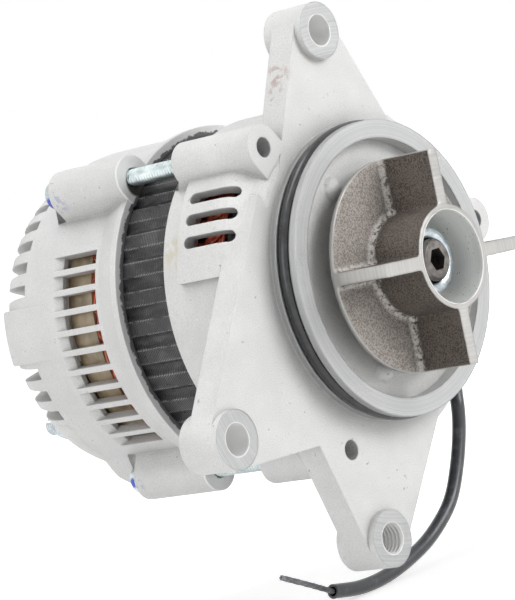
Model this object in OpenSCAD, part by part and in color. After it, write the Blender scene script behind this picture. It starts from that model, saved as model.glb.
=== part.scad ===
// Claw-pole alternator with a three-ear flange, an O-ring pilot and a four-vane drive coupling.
// The shaft lies along Y with the drive end toward -Y, and the top ear points to +Z.
// The origin is on the shaft axis, in the middle of the pilot's front land.

/* [Pilot and flange plate] */
// Outside diameter of the pilot that seats in the engine's bore
pilot_d = 80; // [78:0.5:83]
// From the pilot's front face back to the flange plate
pilot_h = 8.6; // [8.2:0.1:11]
// Width of the land in front of the O-ring groove
land_w = 2.2; // [1.6:0.1:2.6]
// Width of the O-ring groove
groove_w = 4.4; // [4:0.1:4.8]
// Depth of the O-ring groove
groove_deep = 3; // [2.6:0.1:3.2]
// Section diameter of the O-ring
o_ring_t = 3.5; // [3.3:0.1:3.8]
// Wall between the O-ring groove and the recess in the pilot
pilot_wall_t = 2; // [1.8:0.1:3]
// Depth of that recess
recess_deep = 4.3; // [3:0.1:4.8]
// Thickness of the flange plate
plate_t = 7; // [6:0.5:9]

/* [Mounting ears] */
// Height of the top ear's hole above the shaft
top_ear_z = 66; // [62:0.5:72]
// Sideways place of the side ear's hole
side_ear_x = -69; // [-74:0.5:-65]
// Height of the side ear's hole
side_ear_z = -30; // [-36:0.5:-24]
// Sideways place of the low ear's hole
low_ear_x = -19.5; // [-26:0.5:-14]
// Height of the low ear's hole
low_ear_z = -69; // [-74:0.5:-65]
// Outside diameter of each ear's boss
ear_d = 15.6; // [14:0.2:18]
// Diameter of each ear's bolt hole
ear_hole_d = 8.5; // [8.2:0.1:9]
// Length of each ear's boss along the shaft
ear_len = 13; // [11:0.5:15]
// How far each boss stands proud of the plate
ear_proud = 2; // [1:0.25:3]
// Thickness of the web that carries each ear
ear_web_t = 8; // [6:0.5:9]

/* [Housing] */
// Outside diameter of the front bracket's drum
drum_d = 95.4; // [94:0.2:98]
// From the flange plate back to the front bracket's rim
drum_len = 31.2; // [30:0.2:36]
// Wall thickness of both brackets
wall_t = 3; // [2.6:0.1:3.4]
// How far the brackets reach over the stator at each end
rabbet_len = 3; // [2:0.25:4]
// Length of stator that shows between the brackets
stator_gap = 17.4; // [15:0.2:20]
// Outside diameter of the rear bracket's rim
rear_rim_d = 97; // [96:0.2:100]
// Outside diameter of the rear bracket's wall at its windows
rear_wall_d = 91; // [89.5:0.25:92]
// From the rear bracket's rim back to the start of its shoulder
rear_len = 40; // [38:0.5:44]
// Length of the rounded rear shoulder
shoulder_len = 12.4; // [11:0.2:14]
// Radial clearance where parts locate in each other
fit_gap = 0.05; // [0.03:0.01:0.08]

/* [Vents] */
// Number of window places round the rear bracket
window_places = 51; // [44:1:52]
// Windows in each of the three groups
windows_per_group = 11; // [8:1:11]
// Length of each window along the shaft
window_len = 14.2; // [10:0.2:15]
// Width of each window
window_w = 3.9; // [2.6:0.1:4.1]
// Number of slots round the rear shoulder
shoulder_slots = 38; // [30:1:40]
// Width of each shoulder slot
shoulder_slot_w = 3.2; // [2.4:0.1:3.4]
// Width of each front vent slot
vent_w = 3.2; // [2.4:0.1:3.8]
// Length of each front vent slot along the shaft
vent_len = 17; // [12:0.5:18]
// Angle between neighbouring front vent slots
vent_pitch = 7.2; // [6.5:0.1:8]

/* [Through bolts] */
// Diameter of the circle that the three through bolts stand on
bolt_circle_d = 100; // [99:0.25:102]
// Diameter of each through bolt
bolt_d = 5; // [4.5:0.1:5.5]
// Diameter of the boss round each through bolt
bolt_boss_d = 12.4; // [11:0.2:13.5]
// How far each boss stands past its bracket's rim, toward the other bracket
boss_proud = 0.6; // [0.4:0.1:0.9]
// Angle of the first bolt, counted from +X toward +Z
bolt_angle_1 = 128; // [124:0.5:131]
// Angle of the second bolt
bolt_angle_2 = 240; // [236:0.5:244]
// Angle of the third bolt
bolt_angle_3 = 6; // [0:0.5:12]

/* [Drive coupling] */
// Outside diameter of the coupling's disc and vanes
coupling_d = 57.6; // [54:0.2:60]
// Thickness of the coupling's disc
coupling_disc_t = 2.6; // [2.2:0.1:4]
// From the disc's rear face forward to the vane ends
coupling_len = 18.2; // [16:0.2:20]
// Gap between the coupling's disc and the pilot's front face
coupling_gap = 1.5; // [1:0.1:3]
// Thickness of each vane
vane_t = 3.6; // [3:0.1:5]
// Outside diameter of the coupling's hub
hub_d = 27.7; // [26:0.1:30]
// Bore of the hub round the nut
hub_bore_d = 24.5; // [23.6:0.1:25]
// Depth of the hub's bore from the vane ends
hub_bore_deep = 13.8; // [12:0.2:14.5]

/* [Shaft and bearings] */
// Diameter of the shaft in the front bearing
shaft_d = 17; // [16:0.1:17.5]
// Diameter of the shaft's threaded end
thread_d = 11.4; // [10.5:0.1:12]
// Diameter of the shaft through the poles
core_shaft_d = 21; // [20:0.2:23]
// Diameter of the shaft in the rear bearing
rear_shaft_d = 15; // [14:0.1:15.5]
// Outside diameter of the front bearing
front_bearing_d = 47; // [46:0.25:48]
// Width of the front bearing
front_bearing_w = 14; // [13:0.25:14.5]
// Outside diameter of the rear bearing
rear_bearing_d = 35; // [34:0.25:36]
// Width of the rear bearing
rear_bearing_w = 11; // [10:0.25:11.5]
// Width of the shaft's oil seal
seal_w = 5; // [4:0.25:5.5]
// Outside diameter of the oil seal
seal_d = 38; // [36:0.25:40]
// Outside diameter of the thrust collar that the seal runs on
collar_d = 25; // [23:0.25:26]

/* [Rotor] */
// Air gap between the rotor and the stator
air_gap = 0.4; // [0.3:0.05:0.8]
// How far the claw poles stand past the laminations at each end
pole_overhang = 8.3; // [7.5:0.1:8.8]
// Thickness of each pole's disc
pole_disc_t = 9; // [8:0.25:10]
// Number of claws on each pole
claws = 6; // [5:1:6]
// Height of the fan blades
fan_h = 7; // [5:0.25:7.5]
// Outside diameter of the slip rings
slip_ring_d = 24; // [22:0.25:25]
// Width of each slip ring
slip_ring_w = 4.6; // [4.2:0.1:5]

/* [Stator] */
// Outside diameter of the stator's laminations
stator_d = 91; // [90:0.2:91.6]
// Solid ring of the laminations outside the slots
yoke_t = 3.1; // [2.8:0.1:3.4]
// Number of slots in the stator
stator_slots = 36; // [30:1:36]
// Width of each stator slot
slot_w = 2.8; // [2.4:0.1:3.2]
// Depth of each stator slot
slot_deep = 4.4; // [3.6:0.1:4.8]
// Width of each flute on the outside of the laminations
flute_w = 2.4; // [1.6:0.1:3]

/* [Electrical parts] */
// Length of each brush
brush_len = 12; // [10:0.5:13]
// Width of each brush across the slip ring
brush_w = 5; // [4.5:0.1:5.5]
// Thickness of the two rectifier plates
sink_t = 2.4; // [2:0.1:3]
// Diameter of each diode
diode_d = 8; // [7:0.25:8.5]
// Diameter of the output terminal's stud
stud_d = 6; // [5:0.25:6]
// Outside diameter of the lead's sleeve
lead_sleeve_d = 4; // [3.6:0.1:4.4]
// Diameter of the lead's wire
lead_wire_d = 1.6; // [1.4:0.1:2]

/* [Hidden] */
$fn = 72;

// Stations along the shaft
pilot_y = -land_w / 2;
recess_y = pilot_y + recess_deep;
plate_y = pilot_y + pilot_h;
plate_rear_y = plate_y + plate_t;
ear_y = plate_y - ear_proud;
front_rim_y = plate_y + drum_len;
rear_rim_y = front_rim_y + stator_gap;
core_front_y = front_rim_y - rabbet_len;
core_rear_y = rear_rim_y + rabbet_len;
core_mid_y = (core_front_y + core_rear_y) / 2;
shoulder_y = rear_rim_y + rear_len;
rear_y = shoulder_y + shoulder_len;

// Radii of the housing
pilot_r = pilot_d / 2;
recess_r = pilot_r - groove_deep - pilot_wall_t;
drum_r = drum_d / 2;
drum_in_r = drum_r - wall_t - 1;
stator_r = stator_d / 2;
stator_bore_r = stator_r - slot_deep - yoke_t;
rim_in_r = stator_r + fit_gap;
rear_rim_r = rear_rim_d / 2;
rear_wall_r = rear_wall_d / 2;
rear_in_r = rear_wall_r - wall_t;

// Front bearing, its seal and its retainer
bearing_y = recess_y + seal_w;
retainer_y = bearing_y + front_bearing_w;
retainer_t = 2;
front_bearing_r = front_bearing_d / 2;
front_hub_r = front_bearing_r + 8.5;
retainer_screw_r = front_bearing_r + 4.1;
retainer_screw_d = 4;
// The retainer's screws stand where the photograph shows their blind bosses
dome_angles = [118, 250, 4];

// Rear bearing
rear_bearing_y = rear_y - 4 - rear_bearing_w;
rear_bearing_r = rear_bearing_d / 2;
rear_hub_r = rear_bearing_r + wall_t + 0.5;

// Rotor
rotor_r = stator_bore_r - air_gap;
pole_len = core_rear_y - core_front_y + 2 * pole_overhang;
pole_front_y = core_mid_y - pole_len / 2;
pole_rear_y = core_mid_y + pole_len / 2;
shaft_r = shaft_d / 2;
core_shaft_r = core_shaft_d / 2;
rear_shaft_r = rear_shaft_d / 2;
fan_plate_t = 1.2;
bobbin_t = 1;
coil_r = rotor_r - 9.5;
pole_core_r = core_shaft_r + 4.5;

// Slip rings and brushes
slip_pitch = slip_ring_w + 1.4;
slip_core_len = 2 * slip_pitch + 1.6;
slip_front_y = rear_bearing_y - slip_core_len - 0.3;
slip_ring_r = slip_ring_d / 2;
inner_ring_y = slip_front_y + 1.7 + slip_ring_w / 2;
outer_ring_y = inner_ring_y + slip_pitch;
brush_t = slip_ring_w - 0.6;
brush_z = slip_ring_r + 0.05;
brush_top_z = brush_z + brush_len;
spring_len = 7;
holder_top_z = brush_top_z + spring_len;
holder_wall = 1;
holder_half_w = brush_w / 2 + 2;
holder_z = slip_ring_r + 2;
brush_gap = 0.1;

// Coupling
coupling_r = coupling_d / 2;
coupling_y = pilot_y - coupling_gap;
vane_end_y = coupling_y - coupling_len;
nut_seat_y = vane_end_y + hub_bore_deep;
vane_angle = -3.4;
nut_h = 7;

// Rectifier
sink_in_r = rear_hub_r + 3;
sink_out_r = rear_in_r - 3.6;
positive_sink_y = rear_bearing_y - 8.5;
negative_sink_y = rear_bearing_y + 1;
sink_angles = [196, 344];
diode_r = (sink_in_r + sink_out_r) / 2;
stud_angle = 318;
stud_len = 12;
stud_hole_d = stud_d + 6;
stud_root_d = stud_d - 0.6;
stud_nut_h = 5;
stud_free_y = rear_y + 2 + stud_nut_h + 0.3;

// Through bolts
bolt_r = bolt_circle_d / 2;
bolt_angles = [bolt_angle_1, bolt_angle_2, bolt_angle_3];
bolt_hole_d = bolt_d + 0.4;
bolt_head_y = rear_rim_y + 31.4;
bolt_tip_y = plate_y + 5;
bolt_head_d = 9.2;
bolt_head_h = 4;

// The lead leaves the rear bracket on its right and hangs free under the low ear
lead_angle = 336;
lead_exit_y = 84;
sleeve_route = [[38, 84, -17], [46, 84, -20.5], [53, 78, -24], [57, 68, -27],
    [59, 56, -30], [57, 42, -34], [52, 31, -39], [48, 27.5, -44], [46, 27.5, -52],
    [41, 27.5, -62], [34, 27.5, -71], [23, 27.5, -77.5], [12, 27.5, -81],
    [0, 27.5, -83], [-11.5, 27.5, -83], [-23, 27.5, -81]];
wire_route = [[-23.5, 27.5, -80.9], [-31, 27.5, -77], [-41.5, 27.5, -72]];

// A profile of [radius, station] points turned about the shaft
module turned(profile) {
    rotate([-90, 0, 0]) rotate_extrude() polygon(profile);
}

// A flat shape drawn in X and Z, as thick as the stretch between two stations
module slab(y0, y1) {
    translate([0, y1, 0]) rotate([90, 0, 0]) linear_extrude(y1 - y0) children();
}

// A round bar or hole between two stations at a place in X and Z
module rod(x, z, d, y0, y1) {
    translate([x, y0, z]) rotate([-90, 0, 0]) cylinder(d = d, h = y1 - y0);
}

// Turns its children about the shaft to an angle counted from +X toward +Z
module at_angle(a) {
    rotate([0, -a, 0]) children();
}

// A flat ring sector, from one angle to another
module sector(r0, r1, a0, a1) {
    steps = 24;
    angles = [for (i = [0 : steps]) a0 + (a1 - a0) * i / steps];
    far = r1 / cos((a1 - a0) / steps / 2);
    intersection() {
        difference() {
            circle(r = r1);
            circle(r = r0);
        }
        polygon(concat([[0, 0]], [for (a = angles) (far + 1) * [cos(a), sin(a)]]));
    }
}

// The four corners of the straight web that is tangent to two circles
function web(c0, r0, c1, r1) =
    let (d = c1 - c0)
    let (a = atan2(d[1], d[0]))
    let (b = acos((r0 - r1) / norm(d)))
    let (u = [cos(a + b), sin(a + b)])
    let (v = [cos(a - b), sin(a - b)])
    [c0 + r0 * u, c1 + r1 * u, c1 + r1 * v, c0 + r0 * v];

// A tube swept along a route of points, with a steady frame across it
function unit(v) = v / norm(v);
function tangent(p, i) = unit(p[min(i + 1, len(p) - 1)] - p[max(i - 1, 0)]);
function across(t) = abs(t[1]) < 0.9 ? unit(cross(t, [0, 1, 0])) : unit(cross(t, [0, 0, 1]));
function carried(p, i) =
    i == 0 ? across(tangent(p, 0))
    : let (t = tangent(p, i)) let (u = carried(p, i - 1)) unit(u - (u * t) * t);
function ring(p, i, r, sides) =
    let (t = tangent(p, i)) let (u = carried(p, i)) let (v = cross(t, u))
    [for (k = [0 : sides - 1]) p[i] + r * (cos(360 * k / sides) * u + sin(360 * k / sides) * v)];
module tube(p, d, sides) {
    n = len(p);
    points = [for (i = [0 : n - 1]) each ring(p, i, d / 2, sides)];
    side_faces = [for (i = [0 : n - 2]) for (k = [0 : sides - 1])
        let (a = i * sides + k) let (b = i * sides + (k + 1) % sides)
        [a, a + sides, b + sides, b]];
    first = [for (k = [0 : sides - 1]) k];
    last = [for (k = [sides - 1 : -1 : 0]) (n - 1) * sides + k];
    polyhedron(points, concat(side_faces, [first, last]));
}

// The places in X and Z of the three ears and of the circles that their webs leave from
ear_places = [[0, top_ear_z], [side_ear_x, side_ear_z], [low_ear_x, low_ear_z]];
ear_roots = [[-1.5, 0], [-1.5, 3], [-4.6, 1.4]];
ear_root_r = [38, 44, 43];

// Outline of one ear's web, which ends inside the drum
module ear_web(i) {
    polygon(web(ear_places[i], ear_d / 2, ear_roots[i], ear_root_r[i]));
}

// The boss of one through bolt, joined to the wall inside it
module bolt_boss(a, y0, y1) {
    at_angle(a) {
        rod(bolt_r, 0, bolt_boss_d, y0, y1);
        translate([drum_in_r + 0.5, y0, -bolt_boss_d / 2])
            cube([bolt_r - drum_in_r - 0.5, y1 - y0, bolt_boss_d]);
    }
}

// The raised, round-shouldered part of the drum that the front vents cut through.
// Shrunk by a wall, the same form is the hollow behind the vents.
hump_r = bolt_r;
hump_angle = vent_pitch * 2 + 24;
hump_shoulder = 10;
hump_len = 24;
module hump(a, shrink) {
    half = hump_angle / 2 - shrink * 2;
    far = hump_r + 9;
    arc = [for (t = [0 : 15 : 90])
        [hump_r - shrink - hump_shoulder + hump_shoulder * sin(t),
         plate_y + shrink + hump_shoulder - hump_shoulder * cos(t)]];
    intersection() {
        turned(concat([[20, plate_y + shrink]], arc,
            [[hump_r - shrink, plate_y + hump_len - shrink], [drum_in_r - 3, front_rim_y - 4 - shrink],
             [20, front_rim_y - 4 - shrink]]));
        slab(plate_y - 1, front_rim_y) at_flat_angle(a)
            polygon([[25, -25 * tan(half)], [far, -far * tan(half)], [far, far * tan(half)],
                [25, 25 * tan(half)]]);
    }
}
module at_flat_angle(a) {
    rotate(a) children();
}

// One vent slot with round ends, cut in from outside
module vent_slot() {
    y0 = plate_y + 4.5 + vent_w / 2;
    y1 = y0 + vent_len - vent_w;
    translate([drum_in_r - 5, 0, 0]) {
        translate([0, y0, -vent_w / 2]) cube([16, y1 - y0, vent_w]);
        for (y = [y0, y1])
            translate([0, y, 0]) rotate([0, 90, 0]) cylinder(d = vent_w, h = 16, $fn = 24);
    }
}
vent_group_angles = [149.5, 35, 322];

// The front bracket from outside: pilot with its groove, plate, drum, ears, bolt bosses and humps
module front_bracket_outside() {
    shoulder = 5.5;
    profile = [[0, pilot_y], [pilot_r, pilot_y], [pilot_r, pilot_y + land_w],
        [pilot_r - groove_deep, pilot_y + land_w],
        [pilot_r - groove_deep, pilot_y + land_w + groove_w],
        [pilot_r, pilot_y + land_w + groove_w], [pilot_r, plate_y]];
    corner = [for (a = [0 : 15 : 90])
        [drum_r - shoulder + shoulder * sin(a), plate_y + shoulder - shoulder * cos(a)]];
    turned(concat(profile, corner, [[drum_r, front_rim_y], [0, front_rim_y]]));
    for (i = [0 : 2]) {
        slab(plate_y, plate_y + ear_web_t) ear_web(i);
        rod(ear_places[i][0], ear_places[i][1], ear_d, ear_y, ear_y + ear_len);
    }
    for (a = bolt_angles) bolt_boss(a, plate_y, front_rim_y + boss_proud);
    for (a = vent_group_angles) hump(a, 0);
}

// Everything that is hollow in the front bracket, apart from its holes
module front_bracket_inside() {
    floor_y = recess_y + 5.5;
    rod(0, 0, 2 * recess_r, pilot_y - 1, recess_y);
    rod(0, 0, seal_d + 2 * fit_gap, recess_y - 1, bearing_y + 1);
    rod(0, 0, front_bearing_d + 2 * fit_gap, bearing_y, retainer_y + 1);
    turned([[front_hub_r, floor_y], [pilot_r - 5, floor_y], [drum_in_r, plate_rear_y],
        [drum_in_r, core_front_y], [rim_in_r, core_front_y], [rim_in_r, front_rim_y + 1],
        [0, front_rim_y + 1], [0, retainer_y], [front_hub_r, retainer_y]]);
    for (a = vent_group_angles) hump(a, wall_t);
}

module front_bracket() {
    color("gainsboro") difference() {
        union() {
            difference() {
                front_bracket_outside();
                front_bracket_inside();
            }
            for (a = dome_angles) at_angle(a) intersection() {
                translate([retainer_screw_r, recess_y + 2, 0]) sphere(d = 8);
                rod(retainer_screw_r, 0, 9, recess_y - 2, recess_y + 1.5);
            }
        }
        for (i = [0 : 2])
            rod(ear_places[i][0], ear_places[i][1], ear_hole_d, ear_y - 1, ear_y + ear_len + 1);
        for (a = bolt_angles) at_angle(a)
            rod(bolt_r, 0, bolt_hole_d, plate_y - 1, front_rim_y + 1);
        for (a = vent_group_angles) for (k = [-1 : 1]) at_angle(a + k * vent_pitch)
            vent_slot();
        for (a = dome_angles) at_angle(a)
            rod(retainer_screw_r, 0, retainer_screw_d + 0.2, recess_y + 1.8, retainer_y + 1);
    }
}

module pilot_o_ring() {
    ring_r = pilot_r - groove_deep + o_ring_t / 2 + fit_gap;
    color("black") rotate([-90, 0, 0]) rotate_extrude()
        translate([ring_r, pilot_y + land_w + groove_w / 2]) circle(d = o_ring_t, $fn = 32);
}

module shaft_oil_seal() {
    lip_r = collar_d / 2 + fit_gap;
    rim_r = seal_d / 2;
    color("saddlebrown") turned([[lip_r + 0.6, recess_y + 0.3], [rim_r, recess_y + 0.3],
        [rim_r, bearing_y - 0.3], [rim_r - 1.5, bearing_y - 0.3], [rim_r - 1.5, recess_y + 1.6],
        [lip_r + 2, recess_y + 1.6], [lip_r + 1.6, bearing_y - 0.8],
        [lip_r, bearing_y - 1.4], [lip_r + 0.5, recess_y + 1.2]]);
}

// The races and balls of a ball bearing, from its bore, outside, width and front station
function ball_d(bore_d, out_d) = (out_d - bore_d) * 0.29;
function pitch_r(bore_d, out_d) = (out_d + bore_d) / 4;
module outer_race(bore_d, out_d, w, y) {
    inner_r = pitch_r(bore_d, out_d) + ball_d(bore_d, out_d) * 0.28;
    difference() {
        turned([[inner_r, y], [out_d / 2, y], [out_d / 2, y + w], [inner_r, y + w]]);
        ball_track(bore_d, out_d, w, y);
    }
}
module inner_race(bore_d, out_d, w, y) {
    outer_r = pitch_r(bore_d, out_d) - ball_d(bore_d, out_d) * 0.28;
    difference() {
        turned([[bore_d / 2 + fit_gap, y], [outer_r, y], [outer_r, y + w],
            [bore_d / 2 + fit_gap, y + w]]);
        ball_track(bore_d, out_d, w, y);
    }
}
module ball_track(bore_d, out_d, w, y) {
    rotate([-90, 0, 0]) rotate_extrude()
        translate([pitch_r(bore_d, out_d), y + w / 2]) circle(d = ball_d(bore_d, out_d) + 0.1, $fn = 32);
}
module ball_set(bore_d, out_d, w, y, count) {
    d = ball_d(bore_d, out_d);
    r = pitch_r(bore_d, out_d);
    for (i = [0 : count - 1]) at_angle(360 * i / count)
        translate([r, y + w / 2, 0]) sphere(d = d, $fn = 32);
    difference() {
        turned([[r - d * 0.15, y + w / 2 - d * 0.62], [r + d * 0.15, y + w / 2 - d * 0.62],
            [r + d * 0.15, y + w / 2 + d * 0.62], [r - d * 0.15, y + w / 2 + d * 0.62]]);
        for (i = [0 : count - 1]) at_angle(360 * i / count)
            translate([r - d / 2, y + w / 2, 0]) rotate([0, 90, 0]) cylinder(d = d + 0.3, h = d);
    }
}

module front_bearing_outer() {
    color("silver") outer_race(shaft_d, front_bearing_d, front_bearing_w, bearing_y);
}
module front_bearing_inner() {
    color("silver") inner_race(shaft_d, front_bearing_d, front_bearing_w, bearing_y);
}
module front_bearing_balls() {
    color("silver") ball_set(shaft_d, front_bearing_d, front_bearing_w, bearing_y, 7);
}
module rear_bearing_outer() {
    color("silver") outer_race(rear_shaft_d, rear_bearing_d, rear_bearing_w, rear_bearing_y);
}
module rear_bearing_inner() {
    color("silver") inner_race(rear_shaft_d, rear_bearing_d, rear_bearing_w, rear_bearing_y);
}
module rear_bearing_balls() {
    color("silver") ball_set(rear_shaft_d, rear_bearing_d, rear_bearing_w, rear_bearing_y, 8);
}

module bearing_retainer() {
    rim_r = front_hub_r - 0.3;
    color("silver") difference() {
        turned([[front_bearing_r - 3.5, retainer_y], [rim_r, retainer_y],
            [rim_r, retainer_y + retainer_t], [front_bearing_r - 3.5, retainer_y + retainer_t]]);
        for (a = dome_angles) at_angle(a) {
            rod(retainer_screw_r, 0, retainer_screw_d + 0.2, retainer_y - 1, retainer_y + 3);
            screw_cone(0.1);
        }
    }
}

// The countersunk head of one retainer screw, flush with the retainer
module screw_cone(grow) {
    r0 = retainer_screw_d / 2 + grow;
    translate([retainer_screw_r, retainer_y + 0.6, 0]) rotate([-90, 0, 0])
        cylinder(r1 = r0, r2 = r0 + retainer_t - 0.6, h = retainer_t - 0.6);
}
module retainer_screws() {
    color("silver") for (a = dome_angles) at_angle(a) {
        rod(retainer_screw_r, 0, retainer_screw_d, recess_y + 2.2, retainer_y + 0.6);
        screw_cone(0);
    }
}

module coupling() {
    disc_y = coupling_y - coupling_disc_t;
    color("dimgray") difference() {
        turned([[shaft_r + fit_gap, nut_seat_y], [hub_bore_d / 2, nut_seat_y],
            [hub_bore_d / 2, vane_end_y], [coupling_r, vane_end_y], [coupling_r, coupling_y],
            [shaft_r + fit_gap, coupling_y]]);
        slab(vane_end_y - 1, disc_y) difference() {
            circle(r = coupling_r + 2);
            circle(d = hub_d);
            for (k = [0 : 3]) rotate(vane_angle + 90 * k)
                translate([0, -vane_t / 2]) square([coupling_r + 3, vane_t]);
        }
    }
}

// The nut that clamps the coupling, with its round flange
module coupling_nut() {
    color("lightsteelblue") difference() {
        union() {
            rod(0, 0, 19, nut_seat_y - 1.8, nut_seat_y);
            translate([0, nut_seat_y - 1.8, 0]) rotate([90, 0, 0])
                cylinder(d = 18.4, h = nut_h - 1.8, $fn = 6);
        }
        rod(0, 0, thread_d + 0.2, nut_seat_y - nut_h - 1, nut_seat_y + 1);
    }
}

module thrust_collar() {
    rim_r = collar_d / 2;
    bore_r = shaft_r + fit_gap;
    color("silver") turned([[bore_r, coupling_y], [rim_r - 0.5, coupling_y],
        [rim_r, coupling_y + 0.5], [rim_r, bearing_y - 2], [shaft_r + 3.4, bearing_y - 0.5],
        [shaft_r + 3.4, bearing_y], [bore_r, bearing_y]]);
}

module rotor_shaft() {
    thread_r = thread_d / 2;
    tip_y = nut_seat_y - nut_h - 1.6;
    color("dimgray") difference() {
        turned([[0, tip_y], [thread_r - 0.8, tip_y], [thread_r, tip_y + 0.8],
            [thread_r, nut_seat_y + 0.6], [shaft_r, nut_seat_y + 0.6], [shaft_r, retainer_y],
            [core_shaft_r, retainer_y], [core_shaft_r, pole_rear_y + fan_plate_t],
            [rear_shaft_r, pole_rear_y + fan_plate_t],
            [rear_shaft_r, rear_bearing_y + rear_bearing_w - 0.5],
            [rear_shaft_r - 0.5, rear_bearing_y + rear_bearing_w], [0, rear_bearing_y + rear_bearing_w]]);
        translate([0, tip_y - 1, 0]) rotate([-90, 0, 0]) cylinder(d = 6.4, h = 7, $fn = 6);
    }
}

// One claw pole with its front face at station 0 and its claws toward +Y:
// a turned form with the tapered gaps between its claws cut out
module claw_pole() {
    pitch = 2 * PI * rotor_r / claws;
    root_gap = pitch * 0.53;
    tip_gap = pitch * 0.8;
    claw_len = pole_len - 2.6;
    bore_r = core_shaft_r + fit_gap;
    difference() {
        turned([[bore_r, 0], [rotor_r - 1.2, 0], [rotor_r, 1.2], [rotor_r, claw_len],
            [rotor_r - 3, claw_len], [coil_r + 1.2, pole_disc_t], [pole_core_r, pole_disc_t],
            [pole_core_r, pole_len / 2 - 0.05], [bore_r, pole_len / 2 - 0.05]]);
        for (k = [0 : claws - 1]) at_angle(360 * (k + 0.5) / claws)
            translate([rotor_r - 13, 0, 0]) rotate([0, 90, 0]) linear_extrude(20)
                polygon([[-root_gap / 2, -1], [root_gap / 2, -1], [root_gap / 2, pole_disc_t + 0.5],
                    [tip_gap / 2, claw_len + 1], [-tip_gap / 2, claw_len + 1],
                    [-root_gap / 2, pole_disc_t + 0.5]]);
    }
}
module front_claw_pole() {
    color("dimgray") translate([0, pole_front_y, 0]) claw_pole();
}
module rear_claw_pole() {
    color("dimgray") translate([0, pole_rear_y, 0]) mirror([0, 1, 0])
        at_angle(180 / claws) claw_pole();
}

module coil_bobbin() {
    y0 = pole_front_y + pole_disc_t + 0.1;
    y1 = pole_rear_y - pole_disc_t - 0.1;
    r0 = pole_core_r + fit_gap;
    color("white") turned([[r0, y0], [coil_r, y0], [coil_r, y0 + bobbin_t], [r0 + 1, y0 + bobbin_t],
        [r0 + 1, y1 - bobbin_t], [coil_r, y1 - bobbin_t], [coil_r, y1], [r0, y1]]);
}
module field_coil() {
    y0 = pole_front_y + pole_disc_t + 0.2 + bobbin_t;
    y1 = pole_rear_y - pole_disc_t - 0.2 - bobbin_t;
    r0 = pole_core_r + fit_gap + 1.1;
    color("orangered") turned([[r0, y0], [coil_r - 0.5, y0], [coil_r, y0 + 0.6],
        [coil_r, y1 - 0.6], [coil_r - 0.5, y1], [r0, y1]]);
}

// A pressed fan with its plate at station 0 and its blades toward -Y
module fan(blades, bore_r, blade_in_r) {
    blade_out_r = rotor_r - 1;
    difference() {
        union() {
            rod(0, 0, 2 * blade_out_r, 0, fan_plate_t);
            for (k = [0 : blades - 1]) at_angle(360 * k / blades) intersection() {
                translate([blade_in_r, -fan_h, 0]) rotate([0, 24, 0])
                    translate([-1, 0, -0.6]) cube([blade_out_r, fan_h + 0.4, 1.2]);
                turned([[blade_in_r, -fan_h], [blade_out_r - 0.6, -fan_h], [blade_out_r - 0.6, 1],
                    [blade_in_r, 1]]);
            }
        }
        rod(0, 0, 2 * bore_r, -1, fan_plate_t + 1);
    }
}
module front_fan() {
    color("silver") translate([0, pole_front_y - fan_plate_t, 0])
        fan(9, core_shaft_r + fit_gap, front_hub_r + 1.5);
}
module rear_fan() {
    color("silver") translate([0, pole_rear_y + fan_plate_t, 0]) mirror([0, 1, 0])
        fan(11, core_shaft_r + fit_gap, 24);
}

// The insulating core that carries the slip rings on the shaft
module slip_ring_core() {
    bore_r = rear_shaft_r + fit_gap;
    rim_r = slip_ring_r - 1.8;
    color("saddlebrown") turned([[bore_r, slip_front_y], [rim_r, slip_front_y],
        [rim_r, slip_front_y + slip_core_len], [bore_r, slip_front_y + slip_core_len]]);
}
module slip_rings() {
    bore_r = slip_ring_r - 1.8 + fit_gap;
    color("peru") for (y = [inner_ring_y, outer_ring_y])
        turned([[bore_r, y - slip_ring_w / 2], [slip_ring_r, y - slip_ring_w / 2],
            [slip_ring_r, y + slip_ring_w / 2], [bore_r, y + slip_ring_w / 2]]);
}

module stator_core() {
    bore_r = stator_bore_r;
    color("dimgray") difference() {
        turned([[bore_r, core_front_y], [stator_r, core_front_y], [stator_r, core_rear_y],
            [bore_r, core_rear_y]]);
        for (k = [0 : stator_slots - 1]) at_angle(360 * k / stator_slots)
            translate([bore_r - 1, core_front_y - 1, -slot_w / 2])
                cube([slot_deep + 1, core_rear_y - core_front_y + 2, slot_w]);
        for (k = [0 : stator_slots - 1]) at_angle(360 * (k + 0.5) / stator_slots)
            rod(stator_r + flute_w * 0.2, 0, flute_w, core_front_y - 1, core_rear_y + 1);
    }
}

// Paper lining of the stator slots, open toward the rotor
liner_t = 0.25;
module slot_insulation() {
    bore_r = stator_bore_r;
    y0 = core_front_y - 1.2;
    y1 = core_rear_y + 1.2;
    w = slot_w - 0.1;
    color("tan") for (k = [0 : stator_slots - 1]) at_angle(360 * k / stator_slots)
        translate([bore_r + 0.4, y0, 0]) difference() {
            translate([0, 0, -w / 2]) cube([slot_deep - 0.5, y1 - y0, w]);
            translate([-1, -1, -w / 2 + liner_t])
                cube([slot_deep - 0.5 + 1 - liner_t, y1 - y0 + 2, w - 2 * liner_t]);
        }
}

// The winding: a bar in every slot and a rounded bundle of end turns past each face
module stator_winding() {
    r0 = stator_bore_r + 1;
    r1 = stator_bore_r + slot_deep - 1.2;
    w = slot_w - 0.1 - 2 * liner_t - 0.1;
    y0 = core_front_y - 3;
    y1 = core_rear_y + 3;
    color("orangered") {
        for (k = [0 : stator_slots - 1]) at_angle(360 * k / stator_slots)
            translate([r0, y0 - 2, -w / 2]) cube([r1 - r0, y1 - y0 + 4, w]);
        end_turns(y0, -1);
        end_turns(y1, 1);
    }
}
module end_turns(y, way) {
    r0 = stator_bore_r + 0.6;
    r1 = stator_bore_r + slot_deep - 0.7;
    y_tip = y + way * 6;
    turned([[r0, y], [r1, y], [r1, y_tip - way], [r1 - 1, y_tip], [r0 + 1, y_tip], [r0, y_tip - way]]);
}

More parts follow.
